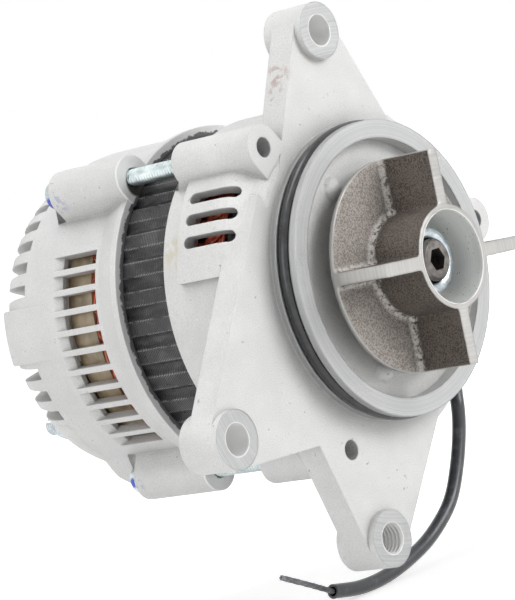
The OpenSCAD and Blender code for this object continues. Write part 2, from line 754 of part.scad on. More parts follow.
// Corners of the rear bracket's rounded shoulder, outside or inside
function shoulder_arc(r, y, dr, dy) = [for (a = [0 : 15 : 90]) [r - dr + dr * cos(a), y + dy * sin(a)]];

window_y = rear_rim_y + 10.8;
window_step = 360 / window_places;
window_group_angles = [152.4, 274.5, 30];
// Each window runs out behind into a short ramp, so that the ribs between stand proud
window_ramp = 3.2;
window_ramp_deep = 1.5;
block_angle = 175.5;
block_half_angle = 9.8;
block_front_y = shoulder_y - 11;
slot_first_angle = block_angle + 14.6;
slot_step = (360 - 31.1) / (shoulder_slots - 1);

// The smooth pad that carries the wall's outside back over the shoulder, with round corners
module corner_block() {
    half_w = rear_wall_r * sin(block_half_angle);
    y1 = rear_y - 1.4;
    corner_r = 2;
    intersection() {
        turned([[rear_hub_r, block_front_y], [rear_wall_r - 0.45, block_front_y],
            [rear_wall_r - 2, y1 - corner_r], [rear_wall_r - 2 - corner_r * 0.3, y1 - corner_r * 0.3],
            [rear_wall_r - 2 - corner_r, y1], [rear_hub_r, y1]]);
        at_angle(block_angle) translate([rear_in_r - 14, 0, 0]) rotate([0, 90, 0])
            linear_extrude(20) union() {
                translate([-half_w, block_front_y + 1]) square([2 * half_w, y1 - corner_r - block_front_y - 1]);
                translate([-half_w + corner_r, block_front_y + 1])
                    square([2 * (half_w - corner_r), y1 + 1 - block_front_y]);
                for (side = [-1, 1])
                    translate([side * (half_w - corner_r), y1 - corner_r]) circle(r = corner_r);
            }
    }
}

module rear_bracket_outside() {
    turned(concat([[0, rear_rim_y], [rear_rim_r, rear_rim_y], [rear_rim_r, rear_rim_y + 2],
        [rear_wall_r, window_y - 1.3], [rear_wall_r, window_y + window_len + 1]],
        shoulder_arc(rear_wall_r - 1.6, shoulder_y, 7, shoulder_len), [[0, rear_y]]));
    for (a = bolt_angles) bolt_boss(a, rear_rim_y - boss_proud, bolt_head_y);
    corner_block();
    at_angle(lead_angle) translate([rear_in_r - 3, lead_exit_y, 0]) rotate([0, 90, 0])
        cylinder(d = 12, h = wall_t + 4.6);
}
module rear_bracket_inside() {
    turned(concat([[0, rear_rim_y - 1], [rim_in_r, rear_rim_y - 1], [rim_in_r, core_rear_y],
        [rear_in_r, core_rear_y], [rear_in_r, window_y + window_len + 1]],
        shoulder_arc(rear_in_r - 2, shoulder_y - 1, 8, shoulder_len + 1 - wall_t),
        [[rear_hub_r, rear_y - wall_t], [rear_hub_r, rear_bearing_y], [0, rear_bearing_y]]));
    rod(0, 0, rear_bearing_d + 2 * fit_gap, rear_bearing_y - 1, rear_bearing_y + rear_bearing_w);
}

module rear_bracket() {
    far_r = rear_wall_r + 5;
    ramp_y = window_y + window_len + window_ramp * (5 + window_ramp_deep) / window_ramp_deep;
    slot_half = shoulder_slot_w / 2;
    color("gainsboro") difference() {
        rear_bracket_outside();
        rear_bracket_inside();
        for (a = bolt_angles) at_angle(a)
            rod(bolt_r, 0, bolt_hole_d, rear_rim_y - 1, bolt_head_y + 1);
        for (a0 = window_group_angles) for (k = [0 : windows_per_group - 1])
            at_angle(a0 + k * window_step) translate([0, 0, -window_w / 2]) linear_extrude(window_w)
                polygon([[rear_in_r - 3, window_y], [far_r, window_y], [far_r, ramp_y],
                    [rear_wall_r - window_ramp_deep, window_y + window_len],
                    [rear_in_r - 3, window_y + window_len]]);
        for (k = [0 : shoulder_slots - 1]) let (a = slot_first_angle + k * slot_step)
            if (abs(a - stud_angle) > 15)
                at_angle(a) translate([rear_hub_r + 5.5, 0, 0]) rotate([0, 90, 0]) linear_extrude(30)
                    polygon([[-slot_half, shoulder_y + 0.5], [slot_half, shoulder_y + 0.5],
                        [slot_half + 0.5, rear_y + 1], [-slot_half - 0.5, rear_y + 1]]);
        at_angle(stud_angle) rod(diode_r, 0, stud_hole_d, rear_y - 8, rear_y + 1);
        at_angle(lead_angle) translate([rear_in_r - 4, lead_exit_y, 0]) rotate([0, 90, 0])
            cylinder(d = 8, h = 14);
    }
}

// The moulded holder that guides both brushes onto the slip rings
module brush_holder() {
    y0 = slip_front_y + 0.2;
    y1 = rear_bearing_y - fit_gap;
    color("darkslategray") difference() {
        translate([-holder_half_w, y0, holder_z])
            cube([2 * holder_half_w, y1 - y0, holder_top_z + holder_wall - holder_z]);
        for (y = [inner_ring_y, outer_ring_y])
            translate([-brush_w / 2 - brush_gap, y - brush_t / 2 - brush_gap, holder_z - 1])
                cube([brush_w + 2 * brush_gap, brush_t + 2 * brush_gap, holder_top_z - holder_z + 1]);
    }
}
module brush(y) {
    color("darkgray") difference() {
        translate([-brush_w / 2, y - brush_t / 2, brush_z - 1])
            cube([brush_w, brush_t, brush_len + 1]);
        rod(0, 0, 2 * brush_z, y - brush_t, y + brush_t);
    }
}
module inner_brush() {
    brush(inner_ring_y);
}
module outer_brush() {
    brush(outer_ring_y);
}

// A coil spring that stands on a brush and presses against the holder
module brush_spring(y) {
    turns = 5;
    steps = 10;
    wire = 0.45;
    rise = spring_len - wire - 0.1;
    coil = [for (i = [0 : turns * steps]) let (a = 360 * i / steps)
        [1.3 * cos(a), y + 1.3 * sin(a), brush_top_z + wire / 2 + 0.05 + rise * i / turns / steps]];
    color("silver") tube(coil, wire, 6);
}
module inner_brush_spring() {
    brush_spring(inner_ring_y);
}
module outer_brush_spring() {
    brush_spring(outer_ring_y);
}

// A horseshoe rectifier plate at a station, with a press hole for each of its three diodes
function diode_angle(k) = sink_angles[0] + 10 + 18 * k;
module heat_sink(y, first) {
    difference() {
        slab(y, y + sink_t) sector(sink_in_r, sink_out_r, sink_angles[0], sink_angles[1]);
        for (k = [first : 2 : first + 4]) at_angle(diode_angle(k))
            rod(diode_r, 0, diode_d + 0.1, y - 1, y + sink_t + 1);
        at_angle(stud_angle) rod(diode_r, 0, stud_d + 0.2, y - 1, y + sink_t + 1);
    }
}
module positive_heat_sink() {
    color("silver") heat_sink(positive_sink_y, 0);
}
module negative_heat_sink() {
    color("silver") difference() {
        heat_sink(negative_sink_y, 1);
        at_angle(stud_angle) rod(diode_r, 0, stud_hole_d, negative_sink_y - 1, negative_sink_y + 9);
    }
}
module diodes() {
    color("dimgray") {
        for (k = [0 : 2 : 4]) at_angle(diode_angle(k))
            rod(diode_r, 0, diode_d, positive_sink_y - 1, positive_sink_y + 4.5);
        for (k = [1 : 2 : 5]) at_angle(diode_angle(k))
            rod(diode_r, 0, diode_d, negative_sink_y - 3.5, negative_sink_y + sink_t);
    }
}

// Cream moulding behind the windows that carries the phase leads
module terminal_board() {
    board_y = positive_sink_y - 5.5;
    a0 = 148;
    a1 = 226;
    color("cornsilk") {
        slab(board_y, board_y + 2) sector(rear_in_r - 10, rear_in_r - 1, a0, a1);
        slab(board_y - 7, board_y) sector(rear_in_r - 3, rear_in_r - 1, a0, a1);
        for (a = [a0 + 6 : 11 : a1])
            at_angle(a) translate([rear_in_r - 9, board_y - 3.5, -0.8]) cube([7, 3.6, 1.6]);
    }
}

module voltage_regulator() {
    y0 = positive_sink_y - 3;
    inner_r = rear_shaft_r + 12.5;
    regulator_w = 16;
    regulator_h = 6;
    fin_t = 1.2;
    color("darkslategray") at_angle(56) {
        translate([inner_r, y0, -regulator_w / 2]) cube([regulator_w, regulator_h, regulator_w]);
        for (k = [0 : 4])
            translate([inner_r + 1, y0 + regulator_h, 1 - regulator_w / 2 + 3 * k])
                cube([regulator_w - 2, 3.4, fin_t]);
    }
}

module terminal_stud() {
    color("silver") at_angle(stud_angle) {
        rod(diode_r, 0, stud_root_d, positive_sink_y, stud_free_y);
        rod(diode_r, 0, stud_d, stud_free_y, rear_y + stud_len);
        rod(diode_r, 0, stud_d + 4, positive_sink_y - 2, positive_sink_y);
    }
}
module terminal_insulator() {
    color("saddlebrown") at_angle(stud_angle) difference() {
        union() {
            rod(diode_r, 0, stud_hole_d - 0.2, positive_sink_y + sink_t, rear_y);
            rod(diode_r, 0, stud_hole_d + 2, rear_y, rear_y + 2);
        }
        rod(diode_r, 0, stud_d + 0.1, positive_sink_y, rear_y + 3);
    }
}
module terminal_nut() {
    color("silver") at_angle(stud_angle) difference() {
        translate([diode_r, rear_y + 2, 0]) rotate([-90, 0, 0])
            cylinder(d = stud_d + 5.5, h = stud_nut_h, $fn = 6);
        rod(diode_r, 0, stud_root_d + 0.1, rear_y, rear_y + 9);
    }
}

module through_bolts() {
    color("lightsteelblue") for (a = bolt_angles) at_angle(a) {
        rod(bolt_r, 0, bolt_d, bolt_tip_y, bolt_head_y);
        translate([bolt_r, bolt_head_y, 0]) rotate([-90, 0, 0]) {
            cylinder(d = bolt_head_d + 1.4, h = 1);
            cylinder(d = bolt_head_d, h = bolt_head_h, $fn = 6);
        }
    }
}

// Rubber grommet that the lead leaves the rear bracket through
module lead_grommet() {
    color("black") at_angle(lead_angle) translate([rear_in_r - 1.5, lead_exit_y, 0])
        rotate([0, 90, 0]) difference() {
            union() {
                cylinder(d = 8 - 2 * fit_gap, h = wall_t + 4.1);
                translate([0, 0, wall_t + 4.1]) cylinder(d = 11, h = 1.5);
            }
            translate([0, 0, -1]) cylinder(d = lead_sleeve_d + 0.4, h = wall_t + 9);
        }
}
module lead_sleeve() {
    color("black") tube(sleeve_route, lead_sleeve_d, 8);
}
module lead_wire() {
    color("dimgray") tube(wire_route, lead_wire_d, 8);
}

front_bracket();
pilot_o_ring();
shaft_oil_seal();
front_bearing_outer();
front_bearing_inner();
front_bearing_balls();
bearing_retainer();
retainer_screws();
coupling();
coupling_nut();
thrust_collar();
rotor_shaft();
front_claw_pole();
rear_claw_pole();
coil_bobbin();
field_coil();
front_fan();
rear_fan();
slip_ring_core();
slip_rings();
stator_core();
slot_insulation();
stator_winding();
rear_bracket();
rear_bearing_outer();
rear_bearing_inner();
rear_bearing_balls();
brush_holder();
inner_brush();
outer_brush();
inner_brush_spring();
outer_brush_spring();
positive_heat_sink();
negative_heat_sink();
diodes();
terminal_board();
voltage_regulator();
terminal_stud();
terminal_insulator();
terminal_nut();
through_bolts();
lead_grommet();
lead_sleeve();
lead_wire();
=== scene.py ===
import math

import bmesh
import bpy
from mathutils import Matrix, Vector, noise
from mathutils.kdtree import KDTree


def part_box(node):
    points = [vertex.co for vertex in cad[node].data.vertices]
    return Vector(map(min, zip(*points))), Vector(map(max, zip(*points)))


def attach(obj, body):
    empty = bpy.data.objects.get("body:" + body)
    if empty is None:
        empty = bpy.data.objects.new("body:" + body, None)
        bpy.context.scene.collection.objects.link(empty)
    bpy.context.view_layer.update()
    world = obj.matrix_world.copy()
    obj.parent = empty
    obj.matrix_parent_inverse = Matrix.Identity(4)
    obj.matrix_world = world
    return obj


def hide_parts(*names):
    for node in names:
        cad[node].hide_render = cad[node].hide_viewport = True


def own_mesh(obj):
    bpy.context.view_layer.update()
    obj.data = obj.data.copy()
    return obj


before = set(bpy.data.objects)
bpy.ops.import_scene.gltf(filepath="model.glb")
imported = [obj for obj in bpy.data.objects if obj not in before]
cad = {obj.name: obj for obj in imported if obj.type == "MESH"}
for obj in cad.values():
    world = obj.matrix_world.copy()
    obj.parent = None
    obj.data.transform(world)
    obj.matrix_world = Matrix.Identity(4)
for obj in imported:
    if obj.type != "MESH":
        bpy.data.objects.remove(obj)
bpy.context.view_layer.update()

# The camera stands in front of the drive end, to its left and a little above the shaft, where
# the photograph was taken from. It was fitted to the pilot, the ears and the rims.
camera_place = (-0.61619, -0.50359, 0.04782)
camera_right = Vector((0.63885, -0.73251, -0.23517))
camera_up = Vector((0.20075, -0.13637, 0.97010))
camera_back = Vector((-0.74268, -0.66696, 0.05993))


def in_scene(name, data):
    """A new object in the scene, at the origin."""
    made = bpy.data.objects.new(name, data)
    bpy.context.scene.collection.objects.link(made)
    return made


camera_lens = bpy.data.cameras.new("photo_camera")
camera_lens.lens = 179.24
camera_lens.sensor_width = 36.0
camera_lens.clip_start = 0.01
camera_lens.clip_end = 40.0
camera = in_scene("photo_camera", camera_lens)
camera.matrix_world = (Matrix.Translation(camera_place)
    @ Matrix((camera_right, camera_up, camera_back)).transposed().to_4x4())
bpy.context.scene.camera = camera
bpy.context.scene.view_settings.view_transform = "Standard"

# The lead: a black rubber sleeve that leaves the rear bracket through a grommet, hangs down
# behind the flange and ends open under the low ear, with a thin insulated wire coming out.
# Both lie on the routes that the solid model has, rounded into one smooth curve.
sleeve_route = [(0.038, 0.084, -0.017), (0.046, 0.084, -0.0205), (0.053, 0.078, -0.024),
    (0.057, 0.068, -0.027), (0.059, 0.056, -0.030), (0.057, 0.042, -0.034),
    (0.052, 0.031, -0.039), (0.048, 0.0275, -0.044), (0.046, 0.0275, -0.052),
    (0.041, 0.0275, -0.062), (0.034, 0.0275, -0.071), (0.023, 0.0275, -0.0775),
    (0.012, 0.0275, -0.081), (0.0, 0.0275, -0.083), (-0.0115, 0.0275, -0.083),
    (-0.023, 0.0275, -0.081)]
wire_route = [(-0.023, 0.0275, -0.081), (-0.031, 0.0275, -0.077), (-0.0415, 0.0275, -0.072)]
sleeve_diameter = 0.004
sleeve_bore = 0.0027
sleeve_sides = 20
wire_diameter = 0.0016
strand_count = 6
strand_radius = 0.0003
strand_twist = 0.42
crease_angle = math.radians(38)


def rounded_route(route, steps):
    """A smooth line through every point of a route, with some points between each two."""
    points = [Vector(p) for p in route]
    ends = [2 * points[0] - points[1]] + points + [2 * points[-1] - points[-2]]
    line = []
    for a, b, c, d in zip(ends, ends[1:], ends[2:], ends[3:]):
        for i in range(steps):
            t = i / steps
            line.append(0.5 * (2 * b + (c - a) * t + (2 * a - 5 * b + 4 * c - d) * t * t
                + (3 * b - a - 3 * c + d) * t ** 3))
    return line + [points[-1]]


def line_frames(line):
    """The direction and two steady cross directions at each point of a line."""
    found = []
    side = None
    for i, point in enumerate(line):
        ahead = (line[min(i + 1, len(line) - 1)] - line[max(i - 1, 0)]).normalized()
        if side is None:
            side = ahead.cross(Vector((0, 1, 0)) if abs(ahead.y) < 0.9 else Vector((0, 0, 1)))
        side = (side - ahead * side.dot(ahead)).normalized()
        found.append((point, side, ahead.cross(side)))
    return found


def add_ring(bm, frame_at, radius, sides):
    """One ring of corners round a point of a line."""
    point, u, v = frame_at
    turn = 2 * math.pi / sides
    return [bm.verts.new(point + radius * (math.cos(turn * k) * u + math.sin(turn * k) * v))
        for k in range(sides)]


def join_rings(bm, rings):
    """Faces between each ring and the next."""
    for a, b in zip(rings, rings[1:]):
        n = len(a)
        for k in range(n):
            bm.faces.new((a[k], a[(k + 1) % n], b[(k + 1) % n], b[k]))


def mesh_from(name, bm):
    """Turns a bmesh into a mesh with smooth faces, and frees it."""
    mesh = bpy.data.meshes.new(name)
    bm.to_mesh(mesh)
    bm.free()
    mesh.polygons.foreach_set("use_smooth", [True] * len(mesh.polygons))
    return mesh


def finished_piece(name, bm, material, body):
    """A piece of the object that rides on a body, smooth but for its sharp edges."""
    bmesh.ops.recalc_face_normals(bm, faces=bm.faces)
    mesh = mesh_from(name, bm)
    mesh.set_sharp_from_angle(angle=crease_angle)
    mesh.materials.append(material)
    piece = in_scene(name, mesh)
    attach(piece, body)
    return piece


def new_finish(name, **plain):
    """A material with its Principled shader; plain gives the shader's uniform numbers."""
    material = bpy.data.materials.new(name)
    material.use_nodes = True
    shader = material.node_tree.nodes["Principled BSDF"]
    for socket, value in plain.items():
        shader.inputs[socket.replace("_", " ")].default_value = value
    return material, material.node_tree, shader


def add(tree, kind, inputs=None, **settings):
    """Adds a node to a tree. Each input is a value, or the output that feeds it."""
    node = tree.nodes.new(kind)
    for setting, value in settings.items():
        setattr(node, setting, value)
    for socket, value in (inputs or {}).items():
        if isinstance(value, bpy.types.NodeSocket):
            tree.links.new(value, node.inputs[socket])
        else:
            node.inputs[socket].default_value = value
    return node


def feed(node, **outputs):
    """Links outputs to the sockets of a shader or of a group's end."""
    for socket, output in outputs.items():
        node.id_data.links.new(output, node.inputs[socket.replace("_", " ")])


def place_on_object(tree):
    """Where a point is on the object, in metres."""
    return add(tree, "ShaderNodeTexCoord").outputs["Object"]


def speckle(place, scale, detail, roughness=0.5):
    """Noise of that many features a metre, in the tree that the place is in."""
    return add(place.id_data, "ShaderNodeTexNoise", {"Vector": place, "Scale": scale, "Detail": detail,
        "Roughness": roughness}).outputs["Fac"]


def grain(place, scale, detail=3.0, stretch=(1, 1, 1)):
    """Rougher noise, stretched along the axes."""
    moved = add(place.id_data, "ShaderNodeMapping", {"Vector": place, "Scale": stretch})
    return speckle(moved.outputs[0], scale, detail, 0.6)


def fade(value, start, end, low=0.0, high=1.0):
    """Goes smoothly from low to high while value goes from start to end."""
    return add(value.id_data, "ShaderNodeMapRange", {"Value": value, "From Min": start, "From Max": end,
        "To Min": low, "To Max": high}, interpolation_type="SMOOTHSTEP").outputs["Result"]


def sum_of(a, b, operation="ADD"):
    """Two values added, or joined by another operation."""
    return add(a.id_data, "ShaderNodeMath", {0: a, 1: b}, operation=operation).outputs[0]


def product(a, b):
    """One value times the other."""
    return sum_of(a, b, "MULTIPLY")


def blend_colours(share, first, second):
    """The first colour where share is 0, the second where it is 1."""
    ends = [c if isinstance(c, bpy.types.NodeSocket) else (*c, 1.0) for c in (first, second)]
    inputs = {0: share, 6: ends[0], 7: ends[1]}
    return add(share.id_data, "ShaderNodeMix", inputs, data_type="RGBA").outputs[2]


def relief(height, depth, normal=None):
    """A bump of that depth in metres from a height that goes from 0 to 1."""
    inputs = {"Height": height, "Strength": 1.0, "Distance": depth}
    if normal is not None:
        inputs["Normal"] = normal
    return add(height.id_data, "ShaderNodeBump", inputs).outputs["Normal"]


sleeve_rubber, tree, shader = new_finish("sleeve_rubber", Coat_Weight=0.5, Coat_Roughness=0.22)
place = place_on_object(tree)
dust = grain(place, 260.0)
dusted = fade(dust, 0.45, 0.75)
feed(shader,
    Base_Color=blend_colours(dusted, (0.013, 0.015, 0.020), (0.055, 0.060, 0.072)),
    Roughness=fade(dust, 0.3, 0.7, 0.3, 0.48),
    Normal=relief(grain(place, 900.0), 0.00004))

line = rounded_route(sleeve_route, 5)
bm = bmesh.new()
frames = line_frames(line)
outside = [add_ring(bm, f, sleeve_diameter / 2, sleeve_sides) for f in frames]
mouth = [outside[-1]] + [add_ring(bm, f, sleeve_bore / 2, sleeve_sides) for f in (frames[-1], frames[-6])]
join_rings(bm, outside)
join_rings(bm, mouth)
bm.faces.new(outside[0])
bm.faces.new(mouth[-1])
sleeve = finished_piece("lead_sleeve_tube", bm, sleeve_rubber, "housing")
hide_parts("lead_sleeve")

wire_cover, tree, shader = new_finish("wire_cover", Coat_Weight=0.2, Coat_Roughness=0.35)
scuffs = grain(place_on_object(tree), 700.0, stretch=(0.4, 1, 1))
feed(shader,
    Base_Color=blend_colours(fade(scuffs, 0.4, 0.7), (0.10, 0.10, 0.105), (0.30, 0.30, 0.32)),
    Roughness=fade(scuffs, 0.3, 0.7, 0.3, 0.55),
    Normal=relief(scuffs, 0.00005))
bm = bmesh.new()
wire_line = line_frames(rounded_route(wire_route, 8))
for k in range(strand_count):
    strand = []
    for i, (point, u, v) in enumerate(wire_line):
        a = 2 * math.pi * k / strand_count + i * strand_twist
        strand.append(point + (wire_diameter / 2 - strand_radius) * (math.cos(a) * u + math.sin(a) * v))
    rings = [add_ring(bm, f, strand_radius, 8) for f in line_frames(strand)]
    join_rings(bm, rings)
    bm.faces.new(rings[0])
    bm.faces.new(rings[-1])
wire = finished_piece("lead_wire_strands", bm, wire_cover, "housing")
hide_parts("lead_wire")

# The floor is a plain white sheet on which the lead's lowest stretch lies. Lamps stand in front
# of the drive end, above, and weakly on the left, as in a light tent for small machines.
floor_height = -0.0853


def distance_between(a, b):
    """How far two places are apart."""
    return add(a.id_data, "ShaderNodeVectorMath", {0: a, 1: b}, operation="DISTANCE").outputs["Value"]


def seen_rays(tree):
    """1 for what the camera sees, straight on or in a reflection."""
    paths = add(tree, "ShaderNodeLightPath").outputs
    straight_or_mirrored = sum_of(paths["Is Camera Ray"], paths["Is Glossy Ray"])
    return sum_of(straight_or_mirrored, paths["Is Transmission Ray"])


bm = bmesh.new()
bmesh.ops.create_grid(bm, x_segments=1, y_segments=1, size=7.0)
for corner in bm.verts:
    corner.co.z = floor_height
floor_mesh = mesh_from("white_floor", bm)
floor = in_scene("white_floor", floor_mesh)
floor_sheet, tree, shader = new_finish("floor_sheet", Base_Color=(0.78, 0.78, 0.78, 1), Roughness=0.9)
seen = seen_rays(tree)
from_middle = distance_between(place_on_object(tree), (0.0, 0.045, floor_height))
brightness = product(seen, fade(from_middle, 0.10, 0.36, 0.50, 0.72))
glow = add(tree, "ShaderNodeEmission", {"Color": (1, 1, 1, 1), "Strength": brightness})
both = add(tree, "ShaderNodeAddShader", {0: shader.outputs[0], 1: glow.outputs[0]})
feed(tree.nodes["Material Output"], Surface=both.outputs[0])
floor_mesh.materials.append(floor_sheet)

studio = bpy.data.worlds.new("white_studio")
studio.use_nodes = True
bpy.context.scene.world = studio
tree = studio.node_tree
backdrop = tree.nodes["Background"]
backdrop.inputs["Color"].default_value = (1, 1, 1, 1)
feed(backdrop, Strength=fade(seen_rays(tree), 0.0, 1.0, 0.42, 1.0))


def add_lamp(name, place, target, size, power):
    """A soft square lamp that faces a point."""
    light = bpy.data.lights.new(name, "AREA")
    light.shape = "SQUARE"
    light.size = size
    light.energy = power
    toward = Vector(target) - Vector(place)
    in_scene(name, light).matrix_world = (
        Matrix.Translation(place) @ toward.to_track_quat("-Z", "Y").to_matrix().to_4x4())


add_lamp("front_lamp", (0.45, -1.25, 0.62), (0, 0.02, 0), 0.8, 12.0)
add_lamp("top_lamp", (-0.25, 0.15, 1.2), (0, 0.04, 0), 0.8, 7.0)
add_lamp("left_lamp", (-1.2, 0.25, 0.35), (0, 0.05, 0), 0.7, 3.2)

# Finishes that several pieces share. A casting has a fine sand grain; handled edges are rubbed
# bright and soft, partly as a painted highlight, corners get painted shade, and turned faces keep the
# lathe's fine rings.
number = "NodeSocketFloat"


def new_group(name, inputs, outputs):
    """A shader group with number inputs and the named outputs."""
    group = bpy.data.node_groups.new(name, "ShaderNodeTree")
    for label, value in inputs:
        socket = group.interface.new_socket(label, in_out="INPUT", socket_type=number)
        socket.default_value = value
    for label, kind in outputs:
        group.interface.new_socket(label, in_out="OUTPUT", socket_type=kind)
    return group, group.nodes.new("NodeGroupInput").outputs, group.nodes.new("NodeGroupOutput")


def use_group(tree, group, **values):
    """Places a group in a material, with that material's own values."""
    node = tree.nodes.new("ShaderNodeGroup")
    node.node_tree = group
    for label, value in values.items():
        node.inputs[label.replace("_", " ")].default_value = value
    return node.outputs


def openness(tree, reach, samples):
    """1 on an open face, less where other faces of the piece stand within reach."""
    return add(tree, "ShaderNodeAmbientOcclusion", {"Distance": reach},
        samples=samples, only_local=True).outputs["AO"]


def axes_of(vector):
    """The X, Y and Z of a place or a direction."""
    return add(vector.id_data, "ShaderNodeSeparateXYZ", {0: vector}).outputs


def across_shaft(axes):
    """A place's X and Z, without its place along the shaft."""
    return add(axes["X"].id_data, "ShaderNodeCombineXYZ", {"X": axes["X"], "Z": axes["Z"]}).outputs[0]


soft_edge, given, out = new_group("soft_edge", [("Radius", 0.0005)],
    [("Normal", "NodeSocketVector"), ("Edge", number)])
rounded = add(soft_edge, "ShaderNodeBevel", {"Radius": given["Radius"]}, samples=4).outputs[0]
true_normal = add(soft_edge, "ShaderNodeNewGeometry").outputs["Normal"]
agreement = add(soft_edge, "ShaderNodeVectorMath", {0: rounded, 1: true_normal},
    operation="DOT_PRODUCT").outputs["Value"]
feed(out, Normal=rounded, Edge=fade(agreement, 0.995, 0.86))

# Painted shade: a spot is darkened, in patches, where other faces of the piece stand close round it.
corner_shade, given, out = new_group("corner_shade", [("Reach", 0.004)], [("Dirt", number)])
hidden = fade(openness(corner_shade, given["Reach"], 6), 0.9, 0.35)
patchy = fade(grain(place_on_object(corner_shade), 140.0), 0.3, 0.7, 0.55, 1.0)
feed(out, Dirt=product(hidden, patchy))

sand_grain, given, out = new_group("sand_grain", [("Fine", 3200.0), ("Coarse", 75.0)],
    [("Tone", number), ("Pits", number), ("Height", number)])
place = place_on_object(sand_grain)
fine = speckle(place, given["Fine"], 3.0, 0.65)
coarse = speckle(place, given["Coarse"], 4.0)
specks = speckle(place, 900.0, 2.0)
pits = product(fade(specks, 0.69, 0.74), fade(coarse, 0.45, 0.6))
feed(out, Pits=pits,
    Tone=sum_of(product(fine, 0.7), product(coarse, 0.3)),
    Height=sum_of(fine, product(pits, 0.8), "SUBTRACT"))

lathe_rings, given, out = new_group("lathe_rings", [("Rings", 2600.0)],
    [("Tone", number), ("From Shaft", number)])
axes = axes_of(place_on_object(lathe_rings))
from_shaft = add(lathe_rings, "ShaderNodeVectorMath", {0: across_shaft(axes)},
    operation="LENGTH").outputs["Value"]
ring_place = add(lathe_rings, "ShaderNodeCombineXYZ", {"X": from_shaft, "Y": axes["Y"]}).outputs[0]
feed(out, From_Shaft=from_shaft, Tone=speckle(ring_place, given["Rings"], 2.0))

# The brackets are sand-cast aluminium, shot-blasted a pale matt grey. The front one is machined
# on its pilot and ear faces and has a few rust runs, where it was stored against bare steel.
cast_dark = (0.60, 0.60, 0.595)
cast_pale = (0.78, 0.78, 0.77)
rubbed_and_highlit_edge = (0.88, 0.88, 0.875)
turned_dark = (0.30, 0.305, 0.305)
turned_pale = (0.58, 0.585, 0.585)
ear_bore_metal_and_sheen_dark = (0.86, 0.86, 0.85)
ear_bore_metal_and_sheen_pale = (0.95, 0.95, 0.94)
painted_shade_tone = (0.30, 0.30, 0.295)
pit_and_corner_shade_tone = (0.20, 0.19, 0.175)
rust_tone = (0.30, 0.12, 0.06)
glue_tone = (0.55, 0.50, 0.34)
ear_places = ((0.0, 0.066), (-0.069, -0.030), (-0.0195, -0.069))
ear_mouth = 0.0045
rust_runs = (((-0.0155, 0.0125, 0.066), 0.0042), ((-0.017, 0.0120, 0.0585), 0.0045),
    ((-0.0185, 0.012, 0.053), 0.003), ((-0.052, 0.0145, -0.001), 0.0022),
    ((-0.054, 0.0145, -0.007), 0.0024), ((-0.0665, 0.0145, -0.020), 0.002))
glue_smear = ((-0.0439, 0.0344, 0.0178), 0.0042)


def larger(a, b):
    """The larger of two values."""
    return sum_of(a, b, "MAXIMUM")


def near(place, spots, soft=0.35):
    """1 near any of some spots, each a point and how far it reaches, fading out beyond it."""
    covered = None
    for centre, reach in spots:
        away = distance_between(place, centre)
        spot = fade(away, reach * (1 + soft), reach * (1 - soft))
        covered = spot if covered is None else larger(covered, spot)
    return covered


def lay_over(colour, tone, mask, strength):
    """A colour with a tone laid over it, at that strength where the mask is 1."""
    return blend_colours(product(mask, strength), colour, tone)


def cast_skin(name, grain_depth):
    """The blasted casting with painted shade and edge highlights, before its machining and marks. Returns
    what the marks build on.
    """
    material, tree, shader = new_finish(name, Metallic=0.35)
    skin = use_group(tree, sand_grain)
    edges = use_group(tree, soft_edge, Radius=0.0007)
    corner_shade_mask = use_group(tree, corner_shade)["Dirt"]
    from_shaft = use_group(tree, lathe_rings)["From Shaft"]
    colour = blend_colours(fade(skin["Tone"], 0.3, 0.7), cast_dark, cast_pale)
    # Painted shade: broad hollows of the casting between about 39 and 57 mm from the shaft are darkened.
    hollow = fade(openness(tree, 0.014, 8), 0.92, 0.45)
    painted_hollow_shade = product(hollow, fade(skin["Tone"], 0.6, 0.4, 0.55, 1.0))
    painted_hollow_shade = product(painted_hollow_shade, fade(from_shaft, 0.060, 0.054))
    painted_hollow_shade = product(painted_hollow_shade, fade(from_shaft, 0.0375, 0.0395))
    colour = lay_over(colour, painted_shade_tone, painted_hollow_shade, 0.5)
    colour = lay_over(colour, pit_and_corner_shade_tone, skin["Pits"], 0.5)
    # Lighter edges: partly rubbed metal, partly a painted highlight.
    colour = lay_over(colour, rubbed_and_highlit_edge, edges["Edge"], 0.6)
    # Painted shade in the corners, in the same dark tone as the sand pits.
    colour = lay_over(colour, pit_and_corner_shade_tone, corner_shade_mask, 0.45)
    normal = relief(skin["Height"], grain_depth, edges["Normal"])
    return material, tree, shader, place_on_object(tree), colour, normal, skin


front_cast, tree, shader, place, colour, normal, skin = cast_skin("front_casting", 0.00022)
axes = axes_of(place)
turning = use_group(tree, lathe_rings)
on_face = fade(axes["Y"], -0.0006, -0.0009)
on_outside = fade(turning["From Shaft"], 0.0384, 0.0387)
on_pilot = product(fade(turning["From Shaft"], 0.0405, 0.0402), fade(axes["Y"], 0.0074, 0.0072))
on_pilot = product(on_pilot, larger(on_face, on_outside))
on_ears = product(fade(turning["From Shaft"], 0.050, 0.052), fade(axes["Y"], 0.00562, 0.00552))
machined = larger(on_pilot, on_ears)
bored = near(across_shaft(axes), [((x, 0.0, z), ear_mouth) for x, z in ear_places], 0.0001 / ear_mouth)
turned_colour = blend_colours(turning["Tone"], turned_dark, turned_pale)
colour = blend_colours(machined, colour, turned_colour)
# The ear bores are near white: bare aluminium, partly a painted sheen in place of their reflection.
colour = blend_colours(bored, colour, blend_colours(skin["Tone"], ear_bore_metal_and_sheen_dark, ear_bore_metal_and_sheen_pale))
stain = grain(place, 420.0, 4.0)
rusty = product(near(place, rust_runs, 0.6), fade(stain, 0.5, 0.62))
colour = lay_over(colour, rust_tone, rusty, 0.7)
glue = product(near(place, [glue_smear], 0.5), fade(stain, 0.4, 0.55))
colour = lay_over(colour, glue_tone, glue, 0.5)
bare_metal = sum_of(machined, product(bored, 0.8), "SUBTRACT")
feed(shader, Base_Color=colour, Normal=normal,
    Roughness=fade(machined, 0.0, 1.0, 0.55, 0.34),
    Metallic=fade(bare_metal, -0.8, 1.0, 0.0, 0.8))
